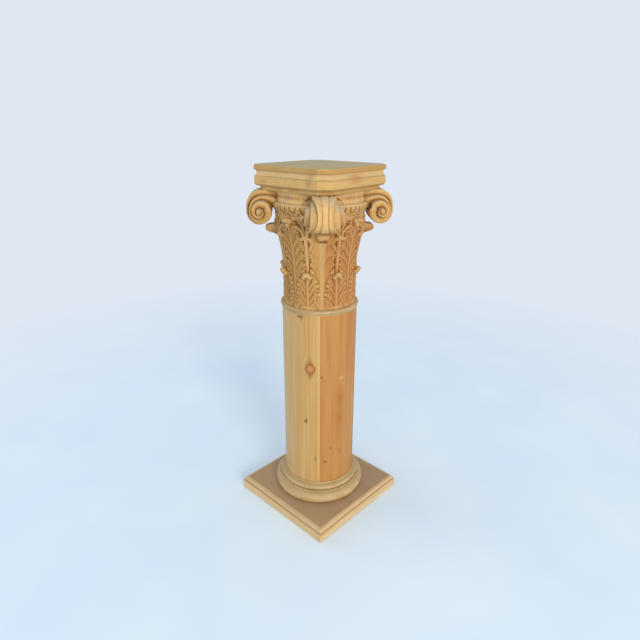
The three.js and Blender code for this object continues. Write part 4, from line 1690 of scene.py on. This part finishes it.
@dataclass
class ScrollBed:
    """The hollowed band over the echinus, which runs into the scrolls at the corners."""

    foot: float = 904.0
    height: float = 27.0
    radius: float = 118.0
    cove: float = 4.0
    cove_start: float = 0.16
    tongues: int = 96
    tongue_relief: float = 1.3
    tongue_foot: tuple[float, float] = (0.55, 0.8)
    tongue_head: tuple[float, float] = (0.88, 0.94)
    arch_angle: float = 25.0
    arch_depth: float = 3.6
    arch_middle: float = -0.1
    arch_height: float = 1.05
    bore: float = 30.3

    def _surface(self, across: np.ndarray, up: np.ndarray) -> Points:
        """The band's hollowed face, with its row of tongues and its recess at each corner.

        Args:
            across: Share of a full turn.
            up: Share of the height.

        Returns:
            The points, mm.
        """
        height = up * self.height
        share = np.clip((up - self.cove_start) / (1.0 - self.cove_start), 0, 1)
        hollow = self.cove * np.sin(np.pi * share) ** 0.8
        side = (across * self.tongues % 1.0) * 2.0 - 1.0
        row = ease(up, *self.tongue_foot) * (1.0 - ease(up, *self.tongue_head))
        tongue = self.tongue_relief * row * (dome(np.abs(side), 0.8) - 1.0)
        turn = 2 * np.pi * across
        corner = np.degrees(turn) % 90.0 + FIRST_CORNER
        arch = np.hypot(corner / self.arch_angle, (up - self.arch_middle) / self.arch_height)
        recess = self.arch_depth * (1.0 - ease(arch, 0.96, 1.01))
        radius = self.radius - hollow + tongue - recess
        return radius * np.cos(turn), radius * np.sin(turn), self.foot + height

    def build(self) -> None:
        """Build the band."""
        band = Workpiece("fine_scroll_bed")
        band.add_sheet(self.tongues * 8, 26, self._surface)
        close_round(band, self.bore)
        band.rotate(CAPITAL_TURN)
        band.finish(BED_PINE, "scroll_pine", ["scroll_bed"], sharp=60.0, carved=1.0)


@dataclass
class CornerScroll:
    """A corner scroll: an hourglass band round a coil that winds out to an eye on each side.

    Angles run round the eye in the upright plane of the diagonal: 0 points away from the stand
    and 90 points up. The winding counts degrees along the spiral from the abacus inwards, and
    is minus the angle on the first turn.
    """

    eye_radial: float = 155.0
    eye_height: float = 878.0
    coil_radius: float = 33.0
    rise: float = 22.0
    ceiling: float = 52.8
    eye_half_width: float = 57.0
    eye_ball: float = 7.0
    whorls: int = 3
    whorl_swell: float = 1.5
    whorl_hollow: float = 8.0
    flank_hollow: float = 4.5
    lip: float = 1.8
    band_half_widths: Table = (
        (-180.0, 30.0),
        (-130.0, 31.0),
        (-85.0, 32.5),
        (-55.0, 27.0),
        (-15.0, 18.5),
        (25.0, 16.8),
        (55.0, 20.0),
        (91.0, 28.0),
        (180.0, 28.0),
    )
    rim_radii: Table = (
        (-180, 70),
        (-150, 52),
        (-113, 41),
        (-95, 37),
        (-72, 32.5),
        (-39, 27.5),
        (-8, 25.5),
        (26, 26),
        (60, 28.5),
        (90, 30.5),
        (120, 31.5),
        (150, 31.5),
        (190, 31),
        (221, 30),
        (252, 27.5),
        (285, 23.5),
        (300, 22),
        (331, 20),
        (360, 18.5),
        (400, 17),
        (450, 15),
        (500, 13),
        (540, 11),
        (600, 8.5),
        (700, 6.5),
    )
    rim_half_widths: Table = (
        (-180, 28.0),
        (-90, 30.0),
        (0, 33.0),
        (90, 36.5),
        (180, 40.0),
        (270, 43.0),
        (360, 46.0),
        (450, 48.0),
        (540, 49.5),
        (650, 50.5),
    )
    steps_round: int = 180
    steps_side: int = 54
    steps_band: int = 44
    pole_mm: float = 0.02

    def outline(self, angle: np.ndarray) -> np.ndarray:
        """The outline of the band, which opens towards the abacus and runs on under it.

        Args:
            angle: Direction from the eye.

        Returns:
            The radius, mm.
        """
        opened = self.coil_radius + self.rise * ease(angle, 0.0, 115.0)
        up = np.sin(np.radians(np.clip(angle, 20.0, 160.0)))
        flat = np.where(angle > 60.0, self.ceiling / np.maximum(up, 0.1), 1e3)
        reach = np.where(angle > 90.0, np.minimum(flat, 80.0), np.minimum(opened, flat))
        closing = ease(angle, 140.0, 172.0)
        return reach * (1.0 - closing) + self.coil_radius * closing

    def side(self, radius: np.ndarray, angle: np.ndarray) -> np.ndarray:
        """Half the width of the scroll at a point of its side.

        Args:
            radius: Distance from the eye, mm.
            angle: Direction from the eye.

        Returns:
            The half width, mm.
        """
        start = -angle
        start = np.where(start < -150.0, start + 360.0, start)
        edge = read_off(self.band_half_widths, angle)
        reach = self.outline(angle)
        outer = read_off(self.rim_radii, start)
        flank = np.clip((radius - outer) / np.maximum(reach - outer, 0.5), 0.0, 1.0)
        width = edge - self.flank_hollow * (1.0 - ease(flank, 0.0, 0.55)) - ease(flank, 0.7, 1.0)
        for turn in range(self.whorls):
            winding = start + 360.0 * turn
            rim = read_off(self.rim_radii, winding)
            inner = read_off(self.rim_radii, winding + 360.0)
            place = np.clip((radius - inner) / np.maximum(rim - inner, 0.5), 0.0, 1.0)
            hollow = self.whorl_hollow * (1.0 - dome(place - 0.58, 0.6))
            crown = read_off(self.rim_half_widths, winding) + self.whorl_swell - hollow
            inside = 1.0 - ease(radius, rim - 0.2, rim + 1.2)
            width = width * (1.0 - inside) + crown * inside
        ball = self.eye_half_width - self.eye_ball * (1.0 - dome(radius, self.eye_ball))
        in_eye = 1.0 - ease(radius, self.eye_ball - 0.5, self.eye_ball + 0.5)
        return width * (1.0 - in_eye) + ball * in_eye

    def band_relief(self, share: np.ndarray) -> np.ndarray:
        """How far the band's face lies below its outline.

        A crowned middle lies between two grooves, with a hollow and a rounded lip outside each.

        Args:
            share: Share of the band's half width, from its middle.

        Returns:
            The drop, mm.
        """
        crown = 0.9 * (share / 0.36) ** 2
        hollow = 1.4 * np.sin(np.pi * np.clip((share - 0.46) / 0.5, 0, 1))
        groove = 2.6 * dome(share - 0.41, 0.07)
        lip = self.lip * ease(share, 0.93, 1.0) ** 2
        return np.where(share < 0.38, crown, hollow) + groove + lip

    def _surface(self, across: np.ndarray, along: np.ndarray) -> Points:
        """Wrap the sheet round the scroll, from one eye over the band to the other.

        Args:
            across: Share of the way round the eye.
            along: Share of the way from eye to eye.

        Returns:
            Distance from the stand's axis, sideways and up, mm.
        """
        angle = across * 360.0 - 180.0
        side = 2.0 * along - 1.0
        share_band = self.steps_band / (self.steps_band + 2.0 * self.steps_side)
        across_band = np.clip(np.abs(side) / share_band, 0.0, 1.0)
        inward = np.clip((np.abs(side) - share_band) / (1.0 - share_band), 0.0, 1.0)
        reach = self.outline(angle)
        half = read_off(self.band_half_widths, angle)
        on_band = np.abs(side) <= share_band
        front = ease(angle, -115.0, -85.0)
        drop = self.band_relief(across_band) * front
        edge_drop = self.lip * front
        radius = np.where(on_band, reach - drop, (reach - edge_drop) * (1.0 - inward))
        width = np.where(on_band, across_band * half, self.side(radius, angle))
        turn = np.radians(angle)
        out = self.eye_radial + radius * np.cos(turn)
        up = self.eye_height + radius * np.sin(turn)
        return out, np.sign(side) * width, up

    def build(self) -> None:
        """Build the four scrolls."""
        pattern = Workpiece("pattern_scroll")
        pattern.add_sheet(self.steps_round, self.steps_band + 2 * self.steps_side, self._surface)
        bmesh.ops.remove_doubles(pattern.shape, verts=pattern.shape.verts[:], dist=self.pole_mm)
        pattern.rotate(FIRST_CORNER + CAPITAL_TURN)
        for index, corner in enumerate(CORNERS):
            scroll = pattern.copy(f"fine_corner_scroll_{corner}")
            scroll.rotate(90 * index)
            scroll.finish(
                SCROLL_PINE, "scroll_pine", [f"corner_scroll_{corner}"], sharp=80.0, carved=2.4
            )
        pattern.shape.free()


# ------------------------------------------------------------------------------------------
# Abacus and hidden pieces
# ------------------------------------------------------------------------------------------


@dataclass
class Abacus:
    """The three faceted squares on top: bed board, hollowed moulding and top board."""

    facet: float = 37.0
    bed_foot: float = 931.0
    bed_height: float = 9.5
    bed_side: float = 238.0
    bed_rounding: float = 0.6
    foot: float = 940.5
    height: float = 38.0
    side: float = 258.8
    cove: float = 4.6
    cove_deepest: float = 33.5
    neck_inset: float = 3.4
    foot_inset: float = 4.5
    fascia_foot: float = 4.5
    fascia_top: float = 22.5
    rounding: float = 1.0
    top_foot: float = 978.5
    top_height: float = 11.5
    top_side: float = 258.7
    top_rounding: float = 1.5

    def build(self) -> None:
        """Build the three pieces."""
        bed = Workpiece("fine_bed_board")
        half = self.bed_side / 2
        bed.add_faceted([(half, 0.0), (half, self.bed_height)], self.facet)
        bed.soften(self.bed_rounding)
        bed.lift(self.bed_foot)
        bed.rotate(CAPITAL_TURN)
        bed.finish(BOARD_PINE, "board_pine", ["bed_board"])
        self._moulding()
        self._top()

    def _moulding(self) -> None:
        """The middle square, with an upright face under a hollow."""
        half = self.side / 2
        low = self.fascia_foot
        levels = [(half - self.foot_inset, 0.0), (half - self.foot_inset + 0.5, 0.4)]
        levels += [(half - 1.5 * self.rounding, low - 1.2 * self.rounding)]
        levels += arc((half - 1.0, low + 0.6), (1.0, 1.2), -60, 0, 3)
        levels += arc((half - 0.8, self.fascia_top - 0.9), (0.8, 0.9), 0, 70, 3)
        levels += [(half - 1.2, self.fascia_top)]
        rise = self.cove_deepest - self.fascia_top
        levels += arc((half, self.cove_deepest), (self.cove, rise), 255, 180, 9)
        levels += [(half - self.neck_inset, self.height)]
        moulding = Workpiece("fine_abacus_moulding")
        moulding.add_faceted(levels, self.facet)
        moulding.lift(self.foot)
        moulding.rotate(CAPITAL_TURN)
        moulding.finish(BOARD_PINE, "board_pine", ["abacus_moulding"])

    def _top(self) -> None:
        """The top board, with its edges rubbed round."""
        half = self.top_side / 2
        r = self.top_rounding
        levels = arc((half - r, r), (r, r), -90, 0, 4)
        levels += arc((half - r, self.top_height - r), (r, r), 0, 90, 4)
        board = Workpiece("fine_top_board")
        board.add_faceted(levels, self.facet)
        board.lift(self.top_foot)
        board.rotate(CAPITAL_TURN)
        board.finish(BOARD_PINE, "board_pine", ["top_board"])


@dataclass
class HiddenPieces:
    """Plugs, dowels and screws inside the stand, which keep their plain solids."""

    sawn: tuple[str, ...] = ("shaft_foot_plug", "shaft_head_plug", "capital_plug")
    screws: int = 4

    def build(self) -> None:
        """Dress the hidden pieces."""
        for node in self.sawn:
            dress_plain_node(node, SAWN_PINE)
        for corner in CORNERS:
            dress_plain_node(f"scroll_dowel_{corner}", SAWN_PINE)
        for number in range(1, self.screws + 1):
            dress_plain_node(f"plinth_screw_{number}", ZINC)
        log.info("hidden pieces dressed")


# ------------------------------------------------------------------------------------------
# Studio
# ------------------------------------------------------------------------------------------


@dataclass(frozen=True)
class Lamp:
    """A square soft lamp that faces the middle of the stand.

    The azimuth and elevation are in degrees, counted as the camera's, and the distance from the
    stand's middle and the lamp's side are in metres.
    """

    name: str
    azimuth: float
    elevation: float
    distance: float
    side: float
    watts: float
    colour: str

    def hang(self, height: float) -> None:
        """Hang the lamp.

        Args:
            height: Height of the stand's middle, metres.
        """
        around, above = math.radians(self.azimuth), math.radians(self.elevation)
        level = Vector((math.sin(around), -math.cos(around), 0.0)) * math.cos(above)
        back = level + Vector((0.0, 0.0, math.sin(above)))
        data = bpy.data.lights.new(self.name, "AREA")
        data.size = self.side
        data.energy = self.watts
        data.color = linear(self.colour)[:3]
        lamp = bpy.data.objects.new(self.name, data)
        lamp.location = Vector((0.0, 0.0, height)) + back * self.distance
        lamp.rotation_mode = "QUATERNION"
        lamp.rotation_quaternion = (-back).to_track_quat("-Z", "Y")
        bpy.context.scene.collection.objects.link(lamp)


@dataclass
class Studio:
    """The camera, the lamps and the pale floor, in metres and degrees."""

    lens: float = 28.27
    sensor: float = 36.0
    azimuth: float = 44.08
    distance: float = 1.3155
    eye_level: float = 1.0785
    pitch: float = 21.1038
    yaw: float = 0.05998
    roll: float = 0.18861
    floor_radius: float = 14.0
    floor_colour: str = "#dff2ff"
    floor_cloud: str = "#e6f7ff"
    floor_fade: tuple[float, float] = (0.7, 2.6)
    wall_colour: str = "#dfe7f2"
    room_colour: str = "#eff4ff"
    room_light: float = 0.74
    lamp_aim: float = 0.5
    lamps: tuple[Lamp, ...] = (
        Lamp("key", 66.0, 20.0, 6.0, 2.0, 180.0, "#fff4e4"),
        Lamp("fill", -60.0, 20.0, 6.0, 4.0, 64.0, "#e8f0ff"),
    )

    def build(self) -> None:
        """Set up everything round the stand."""
        self._camera()
        self._floor()
        self._room()
        for lamp in self.lamps:
            lamp.hang(self.lamp_aim)
        bpy.context.scene.view_settings.view_transform = "Standard"
        log.info("studio ready")

    def _camera(self) -> None:
        """The camera at the photograph's own place and turn."""
        around = math.radians(self.azimuth)
        pitch, yaw, roll = (math.radians(a) for a in (self.pitch, self.yaw, self.roll))
        ahead = Vector((-math.sin(around), math.cos(around), 0.0))
        right = Vector((math.cos(around), math.sin(around), 0.0))
        level = ahead * math.cos(yaw) + right * math.sin(yaw)
        forward = level * math.cos(pitch) - Vector((0, 0, 1)) * math.sin(pitch)
        side = forward.cross(Vector((0, 0, 1))).normalized()
        up = side.cross(forward)
        across = side * math.cos(roll) + up * math.sin(roll)
        upright = up * math.cos(roll) - side * math.sin(roll)
        data = bpy.data.cameras.new("camera")
        data.lens = self.lens
        data.sensor_width = self.sensor
        data.clip_start, data.clip_end = 0.05, 60.0
        camera = bpy.data.objects.new("camera", data)
        turn = Matrix((across, upright, -forward)).transposed().to_4x4()
        spot = -ahead * self.distance + Vector((0, 0, self.eye_level))
        camera.matrix_world = Matrix.Translation(spot) @ turn
        bpy.context.scene.collection.objects.link(camera)
        bpy.context.scene.camera = camera

    def _floor(self) -> None:
        """A pale floor that fades out into the paler wall behind it."""
        mesh = bpy.data.meshes.new("floor")
        shape = bmesh.new()
        bmesh.ops.create_circle(shape, cap_ends=True, segments=96, radius=self.floor_radius)
        shape.to_mesh(mesh)
        shape.free()
        floor = bpy.data.objects.new("floor", mesh)
        bpy.context.scene.collection.objects.link(floor)
        made = bpy.data.materials.new("painted_floor")
        made.use_nodes = True
        tree = made.node_tree
        tree.nodes.clear()
        where = add_node(tree, "ShaderNodeTexCoord")
        cloud = add_node(
            tree, "ShaderNodeTexNoise", {"Vector": where.outputs["Object"], "Scale": 3.0}
        ).outputs[0]
        tone = add_node(
            tree,
            "ShaderNodeValToRGB",
            {0: cloud},
            stops=((0.35, self.floor_colour), (0.7, self.floor_cloud)),
        ).outputs[0]
        shader = add_node(
            tree, "ShaderNodeBsdfPrincipled", {"Base Color": tone, "Roughness": 0.6}
        )
        far = add_node(
            tree, "ShaderNodeVectorMath", {0: where.outputs["Object"]}, operation="LENGTH"
        ).outputs["Value"]
        share = add_node(
            tree,
            "ShaderNodeMapRange",
            {VALUE: far, FROM_MIN: self.floor_fade[0], FROM_MAX: self.floor_fade[1]},
            interpolation_type="SMOOTHSTEP",
        ).outputs[0]
        clear = add_node(tree, "ShaderNodeBsdfTransparent")
        faded = add_node(
            tree, "ShaderNodeMixShader", {0: share, 1: shader.outputs[0], 2: clear.outputs[0]}
        )
        add_node(tree, "ShaderNodeOutputMaterial", {"Surface": faded.outputs[0]})
        mesh.materials.append(made)

    def _room(self) -> None:
        """An even world, which the camera and reflections see as a pale wall."""
        world = bpy.data.worlds.new("room")
        bpy.context.scene.world = world
        world.use_nodes = True
        tree = world.node_tree
        tree.nodes.clear()
        path = add_node(tree, "ShaderNodeLightPath").outputs
        seen = add_node(
            tree,
            "ShaderNodeMath",
            {0: path["Is Camera Ray"], 1: path["Is Glossy Ray"]},
            operation="MAXIMUM",
        ).outputs[0]
        seen = add_node(
            tree, "ShaderNodeMath", {0: seen, 1: path["Is Transmission Ray"]}, operation="MAXIMUM"
        ).outputs[0]
        room = add_node(
            tree, "ShaderNodeBackground", {0: linear(self.room_colour), 1: self.room_light}
        )
        wall = add_node(tree, "ShaderNodeBackground", {0: linear(self.wall_colour), 1: 1.0})
        both = add_node(
            tree, "ShaderNodeMixShader", {0: seen, 1: room.outputs[0], 2: wall.outputs[0]}
        )
        add_node(tree, "ShaderNodeOutputWorld", {"Surface": both.outputs[0]})


def main() -> None:
    """Build the whole scene, from the floor up."""
    logging.basicConfig(level=logging.INFO, format="%(message)s")
    Studio().build()
    from_the_floor_up = (Plinth, Base, Shaft, Bell, Echinus, ScrollBed, CornerScroll, Abacus)
    for made in from_the_floor_up:
        made().build()
    HiddenPieces().build()


if __name__ == "__main__":
    main()
